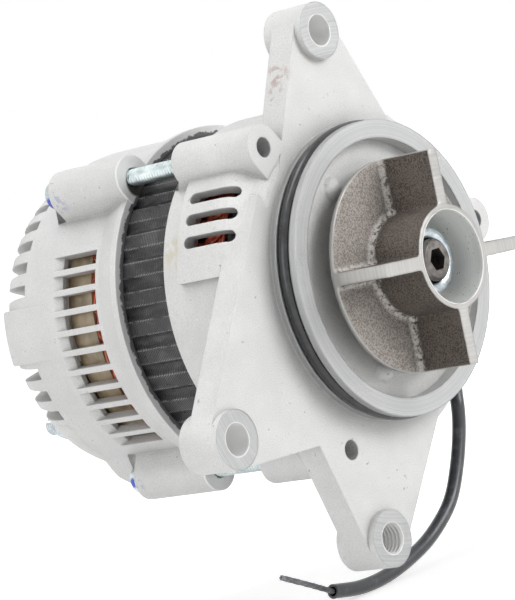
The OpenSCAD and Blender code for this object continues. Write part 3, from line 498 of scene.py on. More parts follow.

# The rear bracket's casting has two old dots of blue paint, a rim that is faced off bright with
# a ragged dark band along its inner edge, and painted shade for the mouth of a screw hole in that rim.
paint_tone = (0.04, 0.10, 0.48)
faced_tone = (0.90, 0.90, 0.90)
ragged_dark_tone = (0.09, 0.09, 0.095)
painted_hole_shade = (0.05, 0.045, 0.04)
paint_dots = (((-0.0360, 0.0805, 0.0372), 0.0030), ((-0.0310, 0.0815, -0.0445), 0.0020))
rim_y = 0.0561
rim_hole = ((-0.0300, rim_y, 0.0380), 0.0040)
rear_cast, tree, shader, place, colour, normal, skin = cast_skin("rear_casting", 0.00026)
painted = product(near(place, paint_dots, 0.5), fade(grain(place, 300.0), 0.47, 0.52))
colour = lay_over(colour, paint_tone, painted, 0.28)
ragged = sum_of(use_group(tree, lathe_rings)["From Shaft"], product(grain(place, 420.0, 4.0), 0.0032))
on_rim = fade(axes_of(place)["Y"], rim_y + 0.00025, rim_y + 0.0001)
# A ragged dark band along the rim's inner edge.
ragged_dark_band = product(on_rim, fade(ragged, 0.0486, 0.0481))
colour = lay_over(colour, faced_tone, on_rim, 0.7)
colour = lay_over(colour, ragged_dark_tone, ragged_dark_band, 0.9)
# Painted shade: a dark spot on the faced rim stands for the mouth of the screw hole.
colour = lay_over(colour, painted_hole_shade, near(place, [rim_hole], 0.12), on_rim)
feed(shader, Base_Color=colour, Normal=normal, Roughness=fade(skin["Tone"], 0.3, 0.7, 0.5, 0.62))

# The bosses for the three long through bolts are spot-faced to their height. Both castings are
# copies of the solid model's brackets, with its shading and with the bosses at their true height.
bolt_circle = 0.050
bolt_angles = (128, 240, 6)
front_boss_end, rear_boss_end = 0.0393, 0.0875
front_boss_cut, rear_boss_cut = 0.0042, 0.0050
front_boss_inside = 0.0476
rear_boss_radius = 0.0095
same_height = 0.0002


def merged_copy(node):
    """The mesh of a node of the solid model, with its loose triangles joined."""
    bm = bmesh.new()
    bm.from_mesh(cad[node].data)
    bmesh.ops.remove_doubles(bm, verts=bm.verts, dist=1e-6)
    return bm


def round_shaft(radius, angle):
    """The X and Z of a point round the shaft, by its angle in degrees."""
    return radius * math.cos(math.radians(angle)), radius * math.sin(math.radians(angle))


bolt_places = [round_shaft(bolt_circle, a) for a in bolt_angles]


def front_rule(place):
    """How far a corner of the front bracket moves along Y."""
    on_end = abs(place.y - front_boss_end) < same_height and math.hypot(place.x, place.z) > front_boss_inside
    return -front_boss_cut if on_end else 0.0


def rear_rule(place):
    """How far a corner of the rear bracket moves along Y."""
    from_bolts = min(math.hypot(place.x - x, place.z - z) for x, z in bolt_places)
    on_end = abs(place.y - rear_boss_end) < same_height and from_bolts < rear_boss_radius
    return -rear_boss_cut if on_end else 0.0


def spot_in_face(corner, middle):
    """A point by a face's corner, a little inside the face, by which the corner is found again."""
    return corner * 0.8 + middle * 0.2


def cut_back(name, node, finish, rule):
    """A bracket with the ends of its bolt bosses moved along Y by a rule of the corner's place."""
    source = cad[node].data
    known = KDTree(len(source.loops))
    for face in source.polygons:
        for i in face.loop_indices:
            known.insert(spot_in_face(source.vertices[source.loops[i].vertex_index].co, face.center), i)
    known.balance()
    bm = merged_copy(node)
    shading = []
    for face in bm.faces:
        middle = face.calc_center_median()
        for corner in face.loops:
            found = known.find(spot_in_face(corner.vert.co, middle))[1]
            shading.append(tuple(source.corner_normals[found].vector))
    for corner in bm.verts:
        corner.co.y += rule(corner.co)
    mesh = mesh_from(name, bm)
    mesh.normals_split_custom_set(shading)
    mesh.materials.append(finish)
    piece = in_scene(name, mesh)
    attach(piece, "housing")
    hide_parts(node)


cut_back("front_casting", "front_bracket", front_cast, front_rule)
cut_back("rear_casting", "rear_bracket", rear_cast, rear_rule)

# The seals: a glossy black O-ring in the pilot's groove, the brown oil seal behind the coupling
# and the black grommet of the lead, all moulded rubber with a faint bloom of dust.


def dress(finish, *names):
    """Gives these nodes of the solid model a finish."""
    for name in names:
        mesh = cad[name].data
        mesh.materials.clear()
        mesh.materials.append(finish)


def rubber(name, deep, pale, gloss):
    """Moulded rubber, dusty in patches."""
    finish, tree, shader = new_finish(name, Coat_Weight=0.3, Coat_Roughness=0.12)
    place = place_on_object(tree)
    bloom = grain(place, 180.0, 4.0)
    feed(shader, Base_Color=blend_colours(fade(bloom, 0.42, 0.75), deep, pale),
        Roughness=fade(bloom, 0.3, 0.7, gloss, gloss + 0.2),
        Normal=relief(grain(place, 1400.0), 0.00003))
    return finish


dress(rubber("ring_rubber", (0.008, 0.009, 0.010), (0.035, 0.038, 0.042), 0.22), "pilot_o_ring")
dress(rubber("seal_rubber", (0.10, 0.035, 0.02), (0.17, 0.07, 0.04), 0.4), "shaft_oil_seal")
dress(rubber("grommet_rubber", (0.012, 0.012, 0.013), (0.05, 0.05, 0.052), 0.45), "lead_grommet")

# The drive coupling is a rough iron casting, brown-grey and spotted with rust, turned bright on
# its rim, on the ends of its four vanes and round the mouth of its hub.
iron_dark = (0.045, 0.036, 0.030)
iron_brown = (0.150, 0.124, 0.104)
iron_lit_tone = (0.46, 0.42, 0.385)
iron_edge = (0.30, 0.28, 0.26)
iron_corner_shade = (0.045, 0.038, 0.033)
iron_rust = (0.36, 0.09, 0.03)
fillet_highlight_tone = (0.74, 0.72, 0.69)
iron_turned_dark = (0.36, 0.35, 0.335)
iron_turned = (0.60, 0.59, 0.57)
hub_bore_metal_and_sheen_dark = (0.78, 0.78, 0.76)
hub_bore_metal_and_sheen_pale = (0.98, 0.98, 0.95)
bore_fleck = (0.10, 0.09, 0.07)
rust_spot = ((0.0, -0.0195, -0.0262), 0.0016)
coupling_iron, tree, shader = new_finish("coupling_iron", Metallic=0.35)
place = place_on_object(tree)
axes = axes_of(place)
turning = use_group(tree, lathe_rings, Rings=2200.0)
edges = use_group(tree, soft_edge, Radius=0.0009)
corner_shade_mask = use_group(tree, corner_shade, Reach=0.006)["Dirt"]
lumps = grain(place, 2300.0, 4.0)
broad = grain(place, 90.0, 3.0)
sparkle = fade(lumps, 0.34, 0.66)
# Painted light: faces that turn towards the front (-Y) are made lighter, as where the lamps fall.
outward = axes_of(add(tree, "ShaderNodeTexCoord").outputs["Normal"])["Y"]
painted_front_light = product(fade(outward, -0.35, -0.9), fade(sparkle, 0.0, 1.0, 0.42, 1.0))
colour = blend_colours(fade(sum_of(sparkle, broad), 0.45, 1.4), iron_dark, iron_brown)
colour = blend_colours(painted_front_light, colour, iron_lit_tone)
# Painted highlight: a pale grainy line in the tight root fillets of the hub and vanes, near the disc.
painted_fillet_highlight = product(fade(openness(tree, 0.0016, 8), 0.97, 0.88),
    fade(grain(place, 900.0, 3.0), 0.36, 0.56))
painted_fillet_highlight = product(painted_fillet_highlight, fade(axes["Y"], -0.0068, -0.0060))
colour = lay_over(colour, iron_edge, edges["Edge"], 0.5)
# Painted shade in the corners between the vanes, the hub and the disc.
colour = lay_over(colour, iron_corner_shade, corner_shade_mask, 0.55)
colour = lay_over(colour, fillet_highlight_tone, painted_fillet_highlight, 0.85)
rust = product(fade(grain(place, 520.0, 4.0), 0.68, 0.74), fade(broad, 0.5, 0.62))
low_rust = product(near(place, [rust_spot], 0.5), fade(lumps, 0.42, 0.5))
colour = lay_over(colour, iron_rust, larger(rust, low_rust), 0.75)
on_rim = fade(turning["From Shaft"], 0.0285, 0.02865)
on_ends = fade(axes["Y"], -0.02055, -0.02065)
in_hub = product(fade(turning["From Shaft"], 0.0128, 0.0126), fade(axes["Y"], -0.0069, -0.0072))
bright = larger(larger(on_rim, on_ends), in_hub)
bright = product(bright, fade(broad, 0.22, 0.36, 0.8, 1.0))
turned_colour = blend_colours(turning["Tone"], iron_turned_dark, iron_turned)
colour = blend_colours(bright, colour, turned_colour)
# The hub's bore is near white: machined iron, partly a painted sheen that lifts it out of its shade.
hub_bore_metal_and_sheen = blend_colours(turning["Tone"], hub_bore_metal_and_sheen_dark, hub_bore_metal_and_sheen_pale)
bore_specks = fade(grain(place, 1300.0, 1.0), 0.70, 0.74)
hub_bore_metal_and_sheen = lay_over(hub_bore_metal_and_sheen, bore_fleck, bore_specks, 0.7)
colour = blend_colours(in_hub, colour, hub_bore_metal_and_sheen)
rough = product(fade(bright, 0.0, 1.0, 0.00028, 0.00002), lumps)
feed(shader, Base_Color=colour, Roughness=fade(bright, 0.0, 1.0, 0.58, 0.36),
    Metallic=fade(sum_of(bright, in_hub, "SUBTRACT"), 0.0, 1.0, 0.25, 0.6),
    Normal=relief(rough, 1.0, edges["Normal"]))

# Its cast form is a fine skin over the solid model's coupling, softened so that every corner
# gets a fillet. The vanes' ends, the bore and the rim are then cut true, as on the lathe.
coupling_front, coupling_back = (corner.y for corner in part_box("coupling"))
coupling_radius = 0.0288
disc_face = coupling_back - 0.0026
disc_thinner = 0.0010
hub_bore_radius = 0.0124
hub_floor = -0.0078
seal_land_radius = 0.0105
cut_allowance = 0.0012
skin_cell = 0.00042
fillet_passes = 14
bm = merged_copy("coupling")
for corner in bm.verts:
    if corner.co.y < coupling_front + same_height:
        corner.co.y -= cut_allowance
    elif abs(corner.co.y - disc_face) < same_height:
        corner.co.y += disc_thinner
rough_form = mesh_from("coupling_rough", bm)
holder = in_scene("coupling_rough", rough_form)
skin_step = holder.modifiers.new("skin", "REMESH")
skin_step.mode = "VOXEL"
skin_step.voxel_size = skin_cell
soft_step = holder.modifiers.new("soften", "SMOOTH")
soft_step.factor = 0.5
soft_step.iterations = fillet_passes
cast_form = bpy.data.meshes.new_from_object(holder.evaluated_get(bpy.context.evaluated_depsgraph_get()))
bpy.data.objects.remove(holder)
bpy.data.meshes.remove(rough_form)
bm = bmesh.new()
bm.from_mesh(cast_form)
bpy.data.meshes.remove(cast_form)
cut = bmesh.ops.bisect_plane(bm, geom=bm.verts[:] + bm.edges[:] + bm.faces[:],
    plane_co=(0, coupling_front, 0), plane_no=(0, -1, 0), clear_outer=True)
rim_edges = [e for e in cut["geom_cut"] if isinstance(e, bmesh.types.BMEdge)]
bmesh.ops.triangle_fill(bm, edges=rim_edges, use_beauty=False, normal=(0, -1, 0))
for corner in bm.verts:
    x, y, z = corner.co
    out = math.hypot(x, z)
    on_end = y < coupling_front + 0.00001
    if abs(out - hub_bore_radius) < 0.0006 and y < hub_floor:
        corner.co.x, corner.co.z = x * hub_bore_radius / out, z * hub_bore_radius / out
    elif out > coupling_radius - 0.0005:
        corner.co.x, corner.co.z = x * coupling_radius / out, z * coupling_radius / out
    elif not on_end and out > seal_land_radius and y < coupling_back - 0.0012:
        lump = 0.00007 * noise.noise(corner.co * 700) + 0.00005 * noise.noise(corner.co * 1900)
        corner.co += corner.normal * lump
coupling_casting = finished_piece("coupling_casting", bm, coupling_iron, "rotor")
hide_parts("coupling")

# Bright small steel parts: the nut of the output stud and the screws of the bearing's retainer
# are zinc-plated, with a bluish passivation, light wear on the corners and turning marks.
metal_corner_shade = (0.06, 0.055, 0.05)


def bright_metal(name, dark, pale, rough, scale, stretch=(1, 1, 1), metal=0.9, soft=0.0003):
    """Worn plated or bare metal, marked by drawing or turning along the stretch, with painted shade in its
    corners.
    """
    finish, tree, shader = new_finish(name, Metallic=metal)
    place = place_on_object(tree)
    marks = grain(place, scale, 4.0, stretch)
    cloud = grain(place, 120.0, 3.0)
    edges = use_group(tree, soft_edge, Radius=soft)
    corner_shade_mask = use_group(tree, corner_shade, Reach=0.0025)["Dirt"]
    worn = tuple(min(0.85, 1.3 * c) for c in pale)
    colour = blend_colours(fade(sum_of(marks, cloud), 0.75, 1.25), dark, pale)
    colour = lay_over(colour, worn, edges["Edge"], 0.6)
    # Painted shade in the corners.
    colour = lay_over(colour, metal_corner_shade, corner_shade_mask, 0.6)
    feed(shader, Base_Color=colour, Roughness=fade(cloud, 0.3, 0.7, rough, rough + 0.14),
        Normal=relief(marks, 0.00004, edges["Normal"]))
    return finish


zinc = bright_metal("blue_zinc", (0.40, 0.46, 0.50), (0.66, 0.72, 0.74), 0.22, 600.0)
dress(zinc, "terminal_nut", "retainer_screws")

# The three through bolts are hexagon bolts with a rolled thread and a washer face under the head.
# They are zinc-plated, and two heads have a dot of blue paint from when they were tightened.
bolt_tip, bolt_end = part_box("through_bolts")[0].y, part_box("through_bolts")[1].y - rear_boss_cut
bolt_radius = 0.0025
bolt_shank = bolt_radius * 0.93
bolt_thread_end = 0.0585
bolt_thread_depth = 0.0005
bolt_thread_pitch = 0.0010
head_seat = bolt_end - 0.004
head_across = 0.0082
head_washer = 0.0053
blue_dots = (((-0.0342, 0.0850, 0.0375), 0.0017), ((-0.0292, 0.0850, -0.0436), 0.0014))
blue_paint = (0.015, 0.04, 0.40)


def hexagon(across, turned_off=1.0):
    """A rule for a hexagon's outline by angle, with its corners turned off at a radius."""
    side = math.pi / 3
    return lambda a: min(across / 2 / math.cos((a + side / 2) % side - side / 2), turned_off)


def turned_rows(bm, middle, rings, sides):
    """Rows round an axis along Y. Each ring is a station and a radius, or a rule for it by angle."""
    x, z = middle
    rows = []
    for y, radius in rings:
        rows.append([])
        for k in range(sides):
            a = 2 * math.pi * k / sides
            r = radius(a) if callable(radius) else radius
            rows[-1].append(bm.verts.new((x + r * math.cos(a), y, z + r * math.sin(a))))
    return rows


def turned_solid(bm, middle, rings, sides=36):
    """A turned form that is closed by its first and its last ring."""
    rows = turned_rows(bm, middle, rings, sides)
    join_rings(bm, rows)
    bm.faces.new(rows[0])
    bm.faces.new(rows[-1])


def turned_tube(bm, middle, rings, sides=48):
    """A turned form with a hole, whose last ring joins the first."""
    rows = turned_rows(bm, middle, rings, sides)
    join_rings(bm, rows + [rows[0]])


def thread_rings(start, end, radius, depth, pitch):
    """Stations of a screw thread, whose radius climbs and falls once a turn."""
    rings = []
    for i in range(round((end - start) / pitch * 4) + 1):
        y = start + i * pitch / 4
        rings.append((y, lambda a, turns=y / pitch:
            radius - depth * abs(2 * ((turns - a / (2 * math.pi)) % 1.0) - 1)))
    return rings


bm = bmesh.new()
for middle in bolt_places:
    turned_solid(bm, middle, [(bolt_tip, bolt_radius * 0.8), (bolt_tip + 0.0005, bolt_radius)]
        + thread_rings(bolt_tip + 0.0006, bolt_thread_end, bolt_radius, bolt_thread_depth, bolt_thread_pitch)
        + [(bolt_thread_end + 0.0005, bolt_shank), (head_seat, bolt_shank), (head_seat, head_washer),
           (head_seat + 0.0007, head_washer), (head_seat + 0.0010, 0.0049),
           (head_seat + 0.0010, hexagon(head_across)), (bolt_end - 0.0010, hexagon(head_across, 0.00455)),
           (bolt_end - 0.0002, hexagon(head_across, 0.0039)), (bolt_end, 0.0033)])
marked_zinc = bright_metal("marked_zinc", (0.48, 0.55, 0.56), (0.74, 0.82, 0.82), 0.24, 600.0, soft=0.00004)
tree = marked_zinc.node_tree
shader = tree.nodes["Principled BSDF"]
plated = shader.inputs["Base Color"].links[0].from_socket
dots = near(place_on_object(tree), blue_dots)
feed(shader, Base_Color=lay_over(plated, blue_paint, dots, 0.9))
bolts = finished_piece("threaded_through_bolts", bm, marked_zinc, "housing")
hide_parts("through_bolts")

# The rear casting is smooth over its shoulder at the top, and has a low lobe behind the low bolt.
# Both are cast in one with the bracket, and the cooling slots stop on each side of them.
shoulder_start, shoulder_length, shoulder_radius, shoulder_drop = 0.096, 0.0124, 0.0439, 0.007
wall_inside = 0.0435
block_step = 1.5
top_block = [(66, 0.0435), (70, 0.0453), (75, 0.0466), (80, 0.0470), (100, 0.0470), (106, 0.0466),
    (112, 0.0452), (116, 0.0435)]
top_drops = [(0.060, 0.0), (0.088, 0.0), (0.092, 0.0004), (0.096, 0.0014), (0.099, 0.0021),
    (0.101, 0.0030), (0.103, 0.0042), (0.105, 0.0064), (0.1062, 0.009)]
low_lobe = [(213, 0.030), (231, 0.0385), (234, 0.0412), (238, 0.0442), (245, 0.0474), (253, 0.0489),
    (260, 0.0490), (268, 0.0472), (274, 0.0440), (278, 0.040)]
low_lobe_drops = [(0.0961, 0.0), (0.0970, 0.0), (0.0985, 0.0), (0.0996, 0.0003), (0.1006, 0.0011),
    (0.1013, 0.0024), (0.1022, 0.0050), (0.1045, 0.0095), (0.1065, 0.013)]
low_wall = [(236, 0.0440), (238, 0.0452), (245, 0.0474), (253, 0.0489), (260, 0.0490), (268, 0.0472),
    (274, 0.0446)]
low_wall_drops = [(0.062, 0.0), (0.080, 0.0), (0.0965, 0.0)]


def shoulder_at(y):
    """The rear casting's outside radius over its round shoulder."""
    run = min(1.0, max(0.0, (y - shoulder_start) / shoulder_length))
    return shoulder_radius - shoulder_drop + shoulder_drop * math.sqrt(1 - run * run)


def between(table, value):
    """Reads a table of pairs at a value, on straight lines between them."""
    for (a, low), (b, high) in zip(table, table[1:]):
        if value <= b:
            return low + (high - low) * max(0.0, value - a) / (b - a)
    return table[-1][1]


def corner_at(bm, radius, angle, y):
    """A corner of a mesh by its radius, its angle in degrees and its station along the shaft."""
    x, z = round_shaft(radius, angle)
    return bm.verts.new((x, y, z))


def smooth_block(bm, steps, form, drops, over_shoulder=True):
    """Closed skin over the wall: its radius by angle, less a drop by station. Over the shoulder it
    never sinks into the slots."""
    angles = [form[0][0] + block_step * i for i in range(steps)]
    outer, inner = [], []
    for y, drop in drops:
        row = []
        for a in angles:
            r = between(form, a) - drop
            if over_shoulder and y >= shoulder_start:
                r = max(r, shoulder_at(y) + (0.00006 if y > 0.0965 else -0.0002))
            row.append((max(r, 0.0325), a))
        depth = wall_inside if y < shoulder_start else shoulder_at(y) - 0.0025
        outer.append([corner_at(bm, r, a, y) for r, a in row])
        inner.append([corner_at(bm, min(r - 0.0004, depth), a, y) for r, a in row])
    for near_row, far_row in zip(outer, outer[1:]):
        for i in range(steps - 1):
            bm.faces.new((near_row[i], near_row[i + 1], far_row[i + 1], far_row[i]))
    for near_row, far_row in zip(inner, inner[1:]):
        for i in range(steps - 1):
            bm.faces.new((near_row[i], far_row[i], far_row[i + 1], near_row[i + 1]))
    for k in (0, len(drops) - 1):
        for i in range(steps - 1):
            bm.faces.new((outer[k][i], outer[k][i + 1], inner[k][i + 1], inner[k][i]))
    for i in (0, steps - 1):
        for k in range(len(drops) - 1):
            bm.faces.new((outer[k][i], outer[k + 1][i], inner[k + 1][i], inner[k][i]))


bm = bmesh.new()
smooth_block(bm, 34, top_block, top_drops)
smooth_block(bm, 44, low_lobe, low_lobe_drops)
smooth_block(bm, 27, low_wall, low_wall_drops, over_shoulder=False)
finished_piece("rear_casting_blocks", bm, rear_cast, "housing")

# A small stud stands on the rear face with its nut run down on it. Both are zinc-plated steel,
# and the stud's end shows past the casting's edge.
face_stud_middle = (-0.0243, -0.0250)
face_stud_nut = hexagon(0.0080)
bm = bmesh.new()
turned_solid(bm, face_stud_middle, [(0.104, 0.0026), (0.1085, 0.0026), (0.1085, face_stud_nut),
    (0.1110, face_stud_nut), (0.1118, 0.0036), (0.1118, 0.0024)]
    + thread_rings(0.1120, 0.1165, 0.0025, 0.0004, 0.0008) + [(0.1172, 0.0018)])
finished_piece("rear_face_stud", bm, zinc, "housing")

# The coupling's nut is a zinc-plated hexagon with a washer face against the hub and corners
# chamfered on the lathe. It turns with the shaft, whose thread fills its bore.
nut_front, nut_back = (corner.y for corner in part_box("coupling_nut"))
nut_bore = 0.0061
nut_across = 0.0172
washer_face = 0.0095
bm = bmesh.new()
turned_tube(bm, (0, 0), [(nut_back, nut_bore), (nut_back, washer_face), (nut_back - 0.0015, washer_face),
    (nut_back - 0.0018, 0.0092), (nut_back - 0.0018, hexagon(nut_across, washer_face)),
    (nut_front + 0.0010, hexagon(nut_across, 0.0094)), (nut_front + 0.0002, hexagon(nut_across, 0.0086)),
    (nut_front, 0.0083), (nut_front, 0.0069), (nut_front + 0.0006, nut_bore)])
shaft_nut = finished_piece("chamfered_shaft_nut", bm, zinc, "rotor")
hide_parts("coupling_nut")

# The output stud is a zinc-plated M6 stud with a round foot behind the rear face, a plain neck
# through its insulator, and a thread on its free end.
stud_low, stud_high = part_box("terminal_stud")
stud_middle = round_shaft(0.03145, 318)
stud_foot, stud_neck, stud_radius = 0.005, 0.0027, 0.003
stud_thread_start = 0.1150
bm = bmesh.new()
turned_solid(bm, stud_middle, [(stud_low.y, stud_foot), (stud_low.y + 0.002, stud_foot),
    (stud_low.y + 0.002, stud_neck), (stud_thread_start - 0.0002, stud_neck)]
    + thread_rings(stud_thread_start, stud_high.y - 0.0008, stud_radius, 0.00045, 0.001)
    + [(stud_high.y, 0.0023)])
stud = finished_piece("threaded_output_stud", bm, zinc, "housing")
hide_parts("terminal_stud")

# The low ear's bore is tapped, so that a bolt holds in the casting itself. The thread is a thin
# tube in the bore, cut in the same bare aluminium.
ear_front, ear_back = 0.0055, 0.0185
ear_bore, ear_thread = 0.00425, 0.0042
bm = bmesh.new()
turned_tube(bm, ear_places[2], [(ear_back, ear_bore), (ear_front, ear_bore), (ear_front, ear_thread)]
    + thread_rings(ear_front + 0.0005, ear_back - 0.0004, ear_thread, 0.0004, 0.00125)
    + [(ear_back, ear_thread)])
finished_piece("low_ear_thread", bm, front_cast, "housing")

# The bearings, their collar and their retainer are ground steel. The shaft is dark turned steel,
# and the fans on it are pressed from zinc-plated sheet.
dress(bright_metal("ground_steel", (0.42, 0.42, 0.43), (0.62, 0.62, 0.64), 0.2, 1500.0, (1, 0.15, 1)),
    "front_bearing_outer", "front_bearing_inner", "front_bearing_balls", "rear_bearing_outer",
    "rear_bearing_inner", "rear_bearing_balls", "thrust_collar", "bearing_retainer")
dress(bright_metal("shaft_steel", (0.12, 0.11, 0.105), (0.24, 0.225, 0.21), 0.3, 1800.0, (0.3, 1, 0.3)),
    "rotor_shaft")
dress(bright_metal("pressed_zinc", (0.36, 0.37, 0.38), (0.56, 0.57, 0.58), 0.3, 500.0),
    "front_fan", "rear_fan")

# A coil spring of bright drawn wire presses each brush on its slip ring. Its upper end bears on
# the holder's roof.
spring_wire = bright_metal("spring_wire", (0.3, 0.3, 0.31), (0.5, 0.5, 0.52), 0.25, 2500.0)
for side in ("inner", "outer"):
    spring = finished_piece(side + "_pressed_spring", merged_copy(side + "_brush_spring"), spring_wire,
        "housing")
    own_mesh(spring)
    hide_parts(side + "_brush_spring")

# The heat sinks are rolled aluminium sheet and carry the diodes' dull steel cans. The slip rings
# are turned copper, and the claw poles are forged steel, dark from the heat.
dress(bright_metal("rolled_sheet", (0.46, 0.46, 0.46), (0.66, 0.66, 0.66), 0.34, 900.0, (1, 1, 0.2)),
    "positive_heat_sink", "negative_heat_sink")
dress(bright_metal("ring_copper", (0.45, 0.22, 0.12), (0.75, 0.43, 0.27), 0.18, 2500.0, (0.1, 1, 0.1)),
    "slip_rings")
dress(bright_metal("pole_steel", (0.07, 0.065, 0.06), (0.17, 0.16, 0.155), 0.42, 350.0, metal=0.6),
    "front_claw_pole", "rear_claw_pole")
dress(bright_metal("diode_can", (0.10, 0.10, 0.11), (0.2, 0.2, 0.21), 0.35, 700.0, metal=0.7), "diodes")

# The stator is a pile of thin steel sheets, dipped in black varnish. Its outside shows every
# sheet as a fine line, the varnish is rubbed through to grey on the high places, and a painted glint runs
# along its edges.
lamination_pitch = 0.00062
varnish_dark = (0.010, 0.010, 0.011)
varnish_pale = (0.034, 0.034, 0.037)
rubbed_grey = (0.22, 0.22, 0.23)
painted_glint_tone = (0.85, 0.85, 0.87)
laminations, tree, shader = new_finish("black_laminations", Metallic=0.1, Coat_Weight=0.35,
    Coat_Roughness=0.22)
place = place_on_object(tree)
wobble = product(grain(place, 500.0, 2.0), 0.9)
phase = sum_of(product(axes_of(place)["Y"], 2 * math.pi / lamination_pitch), wobble)
sheets = fade(add(tree, "ShaderNodeMath", {0: phase}, operation="SINE").outputs[0], -1.0, 1.0)
rubbed = grain(place, 330.0, 4.0, (1, 0.5, 1))
cloud = grain(place, 45.0, 3.0)
edges = use_group(tree, soft_edge, Radius=0.0008)
colour = blend_colours(fade(cloud, 0.35, 0.65), varnish_dark, varnish_pale)
worn = product(fade(rubbed, 0.5, 0.66), fade(sheets, 0.5, 1.0))
colour = lay_over(colour, rubbed_grey, worn, 0.55)
# Painted glint: a bright line along the edges of the lands, broken by the sheets.
glint = product(product(edges["Edge"], fade(sheets, 0.35, 0.8)), fade(rubbed, 0.35, 0.5))
colour = blend_colours(glint, colour, painted_glint_tone)
feed(shader, Base_Color=colour, Roughness=fade(rubbed, 0.3, 0.7, 0.24, 0.40),
    Normal=relief(sheets, 0.00016, edges["Normal"]))

stator_front, stator_back = (corner.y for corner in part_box("stator_core"))
stator_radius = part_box("stator_core")[1].x
bore_radius, slot_radius = 0.0380, 0.0424
slot_count = 36
slot_turn = 360 / slot_count
flute_depth = 0.0012
land_half, flute_span = 2.5, 5.0
outer_angles = (-5, -4.3, -3.4, -2.5, -1.7, -0.9, 0, 0.9, 1.7, 2.5, 3.4, 4.3)
bore_angles = (-5, -4, -3, -2.15, -1.92, -0.95, 0, 0.95, 1.92, 2.15, 3, 4)
slot_half = 2
outline, bore_line = [], []
for k in range(slot_count):
    for a in outer_angles:
        across = max(0.0, (abs(a) - land_half) / flute_span)
        outline.append((k * slot_turn + a, stator_radius - flute_depth * math.sin(math.pi * across) ** 0.7))
    for a in bore_angles:
        bore_line.append((k * slot_turn + a, slot_radius if abs(a) < slot_half else bore_radius))
bm = bmesh.new()
rows = [[corner_at(bm, r, a, y) for a, r in line_of_places] for y, line_of_places in (
    (stator_front, outline), (stator_back, outline), (stator_back, bore_line), (stator_front, bore_line))]
join_rings(bm, rows + [rows[0]])
pile = finished_piece("fluted_laminations", bm, laminations, "housing")
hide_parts("stator_core")

# The stator's winding: red enamelled wire that leaves each slot, bends over three slots while it
# climbs outward, and goes back in. The turns of neighbouring slots lie beside each other.
wire_size = 0.00088
slot_span = 3
turn_levels = 5
turn_points = 15
bundle_bottom, bundle_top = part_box("stator_winding")
inner_turn = 0.0390
turns_past_bundle = {-1: 0.0030, 1: 0.0048}
flared_turn = {-1: 0.0412, 1: 0.0424}
enamel, tree, shader = new_finish("red_enamel", Metallic=0.25, Coat_Weight=0.6, Coat_Roughness=0.12)
place = place_on_object(tree)
drops = grain(place, 380.0, 3.0)
colour = blend_colours(fade(drops, 0.3, 0.7), (0.42, 0.045, 0.022), (0.85, 0.17, 0.075))
colour = blend_colours(fade(grain(place, 90.0), 0.55, 0.7), colour, (0.42, 0.16, 0.05))
feed(shader, Base_Color=colour, Roughness=fade(drops, 0.3, 0.7, 0.22, 0.4),
    Normal=relief(drops, 0.00008))


def ring_repeater():
    """A Geometry Nodes tree that repeats a mesh round the shaft and gives it its finish."""
    tree = bpy.data.node_groups.new("repeat_round_the_shaft", "GeometryNodeTree")
    face = tree.interface
    for label, kind in (("Part", "NodeSocketGeometry"), ("Count", "NodeSocketInt"),
            ("First Angle", "NodeSocketFloat"), ("Step Angle", "NodeSocketFloat"),
            ("Finish", "NodeSocketMaterial")):
        face.new_socket(label, in_out="INPUT", socket_type=kind)
    face.new_socket("Ring", in_out="OUTPUT", socket_type="NodeSocketGeometry")
    given = tree.nodes.new("NodeGroupInput").outputs
    places = add(tree, "GeometryNodePoints", {"Count": given["Count"]}).outputs[0]
    turned = product(add(tree, "GeometryNodeInputIndex").outputs[0], given["Step Angle"])
    turned = product(sum_of(turned, given["First Angle"]), -1.0)
    angles = add(tree, "ShaderNodeCombineXYZ", {"Y": turned}).outputs[0]
    turn = add(tree, "FunctionNodeEulerToRotation", {0: angles}).outputs[0]
    copies = add(tree, "GeometryNodeInstanceOnPoints", {"Points": places, "Instance": given["Part"],
        "Rotation": turn})
    solid = add(tree, "GeometryNodeRealizeInstances", {0: copies.outputs[0]})
    dressed = add(tree, "GeometryNodeSetMaterial", {"Geometry": solid.outputs[0],
        "Material": given["Finish"]})
    tree.links.new(dressed.outputs[0], tree.nodes.new("NodeGroupOutput").inputs[0])
    return tree


repeat_ring = ring_repeater()


def repeated(name, bm, finish, count, first, step, body):
    """Repeats one part round the shaft, as a plain mesh. Angles are in degrees."""
    bmesh.ops.recalc_face_normals(bm, faces=bm.faces)
    one = mesh_from(name + "_one", bm)
    holder = in_scene(name + "_one", one)
    modifier = holder.modifiers.new("repeat", "NODES")
    modifier.node_group = repeat_ring
    values = {"Count": count, "First Angle": math.radians(first), "Step Angle": math.radians(step),
        "Finish": finish}
    for item in repeat_ring.interface.items_tree:
        if item.in_out == "INPUT" and item.name in values:
            modifier[item.identifier] = values[item.name]
    graph = bpy.context.evaluated_depsgraph_get()
    mesh = bpy.data.meshes.new_from_object(holder.evaluated_get(graph))
    mesh.name = name
    bpy.data.objects.remove(holder)
    bpy.data.meshes.remove(one)
    mesh.set_sharp_from_angle(angle=crease_angle)
    piece = in_scene(name, mesh)
    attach(piece, body)
    return piece


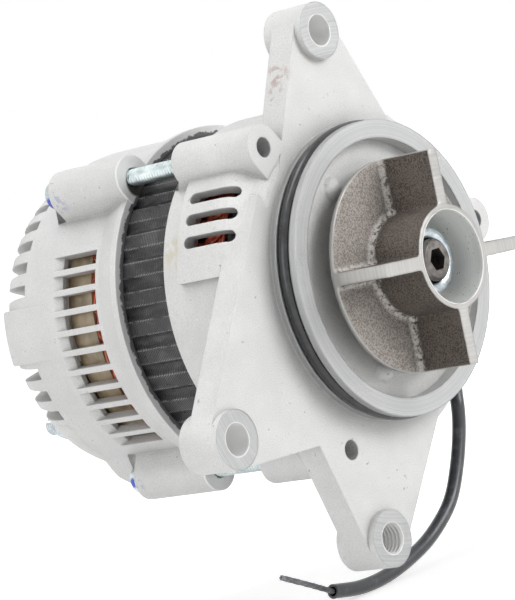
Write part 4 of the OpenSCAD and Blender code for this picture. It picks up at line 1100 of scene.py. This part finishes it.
bm = bmesh.new()
span = math.radians(slot_turn * slot_span)
for way, face_y, tip_y in ((-1, stator_front, bundle_bottom.y), (1, stator_back, bundle_top.y)):
    reach = abs(tip_y - face_y) + turns_past_bundle[way]
    for level in range(turn_levels):
        top = reach - level * wire_size * 1.15
        points = []
        for i in range(turn_points):
            t = i / (turn_points - 1)
            radius = inner_turn + (flared_turn[way] - inner_turn) * t
            angle = span * (0.04 + 0.92 * t)
            rise = top * min(1.0, math.sin(math.pi * t) * 1.25) ** 0.75 if 0 < t < 1 else 0.0
            points.append(Vector((radius * math.cos(angle), face_y + way * (rise - 0.001),
                radius * math.sin(angle))))
        join_rings(bm, [add_ring(bm, f, wire_size / 2, 6) for f in line_frames(points)])
winding = repeated("stator_wires", bm, enamel, slot_count, 0.0, slot_turn, "housing")
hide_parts("stator_winding")
dress(enamel, "field_coil")

# Moulded and pressed insulation: paper slot liners, the cream board behind the windows, the
# black brush holder and regulator, the brown resin parts and the two carbon brushes.


def moulded(name, dark, pale, rough, scale=500.0, coat=0.1):
    """Moulded plastic or pressed carbon with a fine surface and painted shade in its corners."""
    finish, tree, shader = new_finish(name, Coat_Weight=coat, Coat_Roughness=0.3)
    place = place_on_object(tree)
    texture = grain(place, scale, 4.0)
    cloud = grain(place, 70.0, 3.0)
    edges = use_group(tree, soft_edge, Radius=0.0003)
    corner_shade_mask = use_group(tree, corner_shade, Reach=0.003)["Dirt"]
    colour = blend_colours(fade(sum_of(texture, cloud), 0.75, 1.25), dark, pale)
    # Painted shade in the corners, in a darker copy of the dark tone.
    colour = lay_over(colour, tuple(0.35 * c for c in dark), corner_shade_mask, 0.5)
    feed(shader, Base_Color=colour, Roughness=fade(cloud, 0.3, 0.7, rough, rough + 0.12),
        Normal=relief(texture, 0.00005, edges["Normal"]))
    return finish


dress(moulded("slot_paper", (0.38, 0.28, 0.16), (0.58, 0.46, 0.30), 0.7), "slot_insulation")
dress(moulded("cream_plastic", (0.16, 0.11, 0.06), (0.50, 0.40, 0.26), 0.3, 110.0, 0.5), "terminal_board")
dress(moulded("bobbin_plastic", (0.55, 0.52, 0.44), (0.7, 0.67, 0.58), 0.45), "coil_bobbin")
dress(moulded("black_plastic", (0.014, 0.014, 0.016), (0.04, 0.04, 0.045), 0.38),
    "brush_holder", "voltage_regulator")
dress(moulded("brown_resin", (0.10, 0.035, 0.02), (0.2, 0.085, 0.05), 0.3, coat=0.4),
    "slip_ring_core", "terminal_insulator")
dress(moulded("brush_carbon", (0.03, 0.03, 0.031), (0.09, 0.09, 0.092), 0.5, 1200.0),
    "inner_brush", "outer_brush")
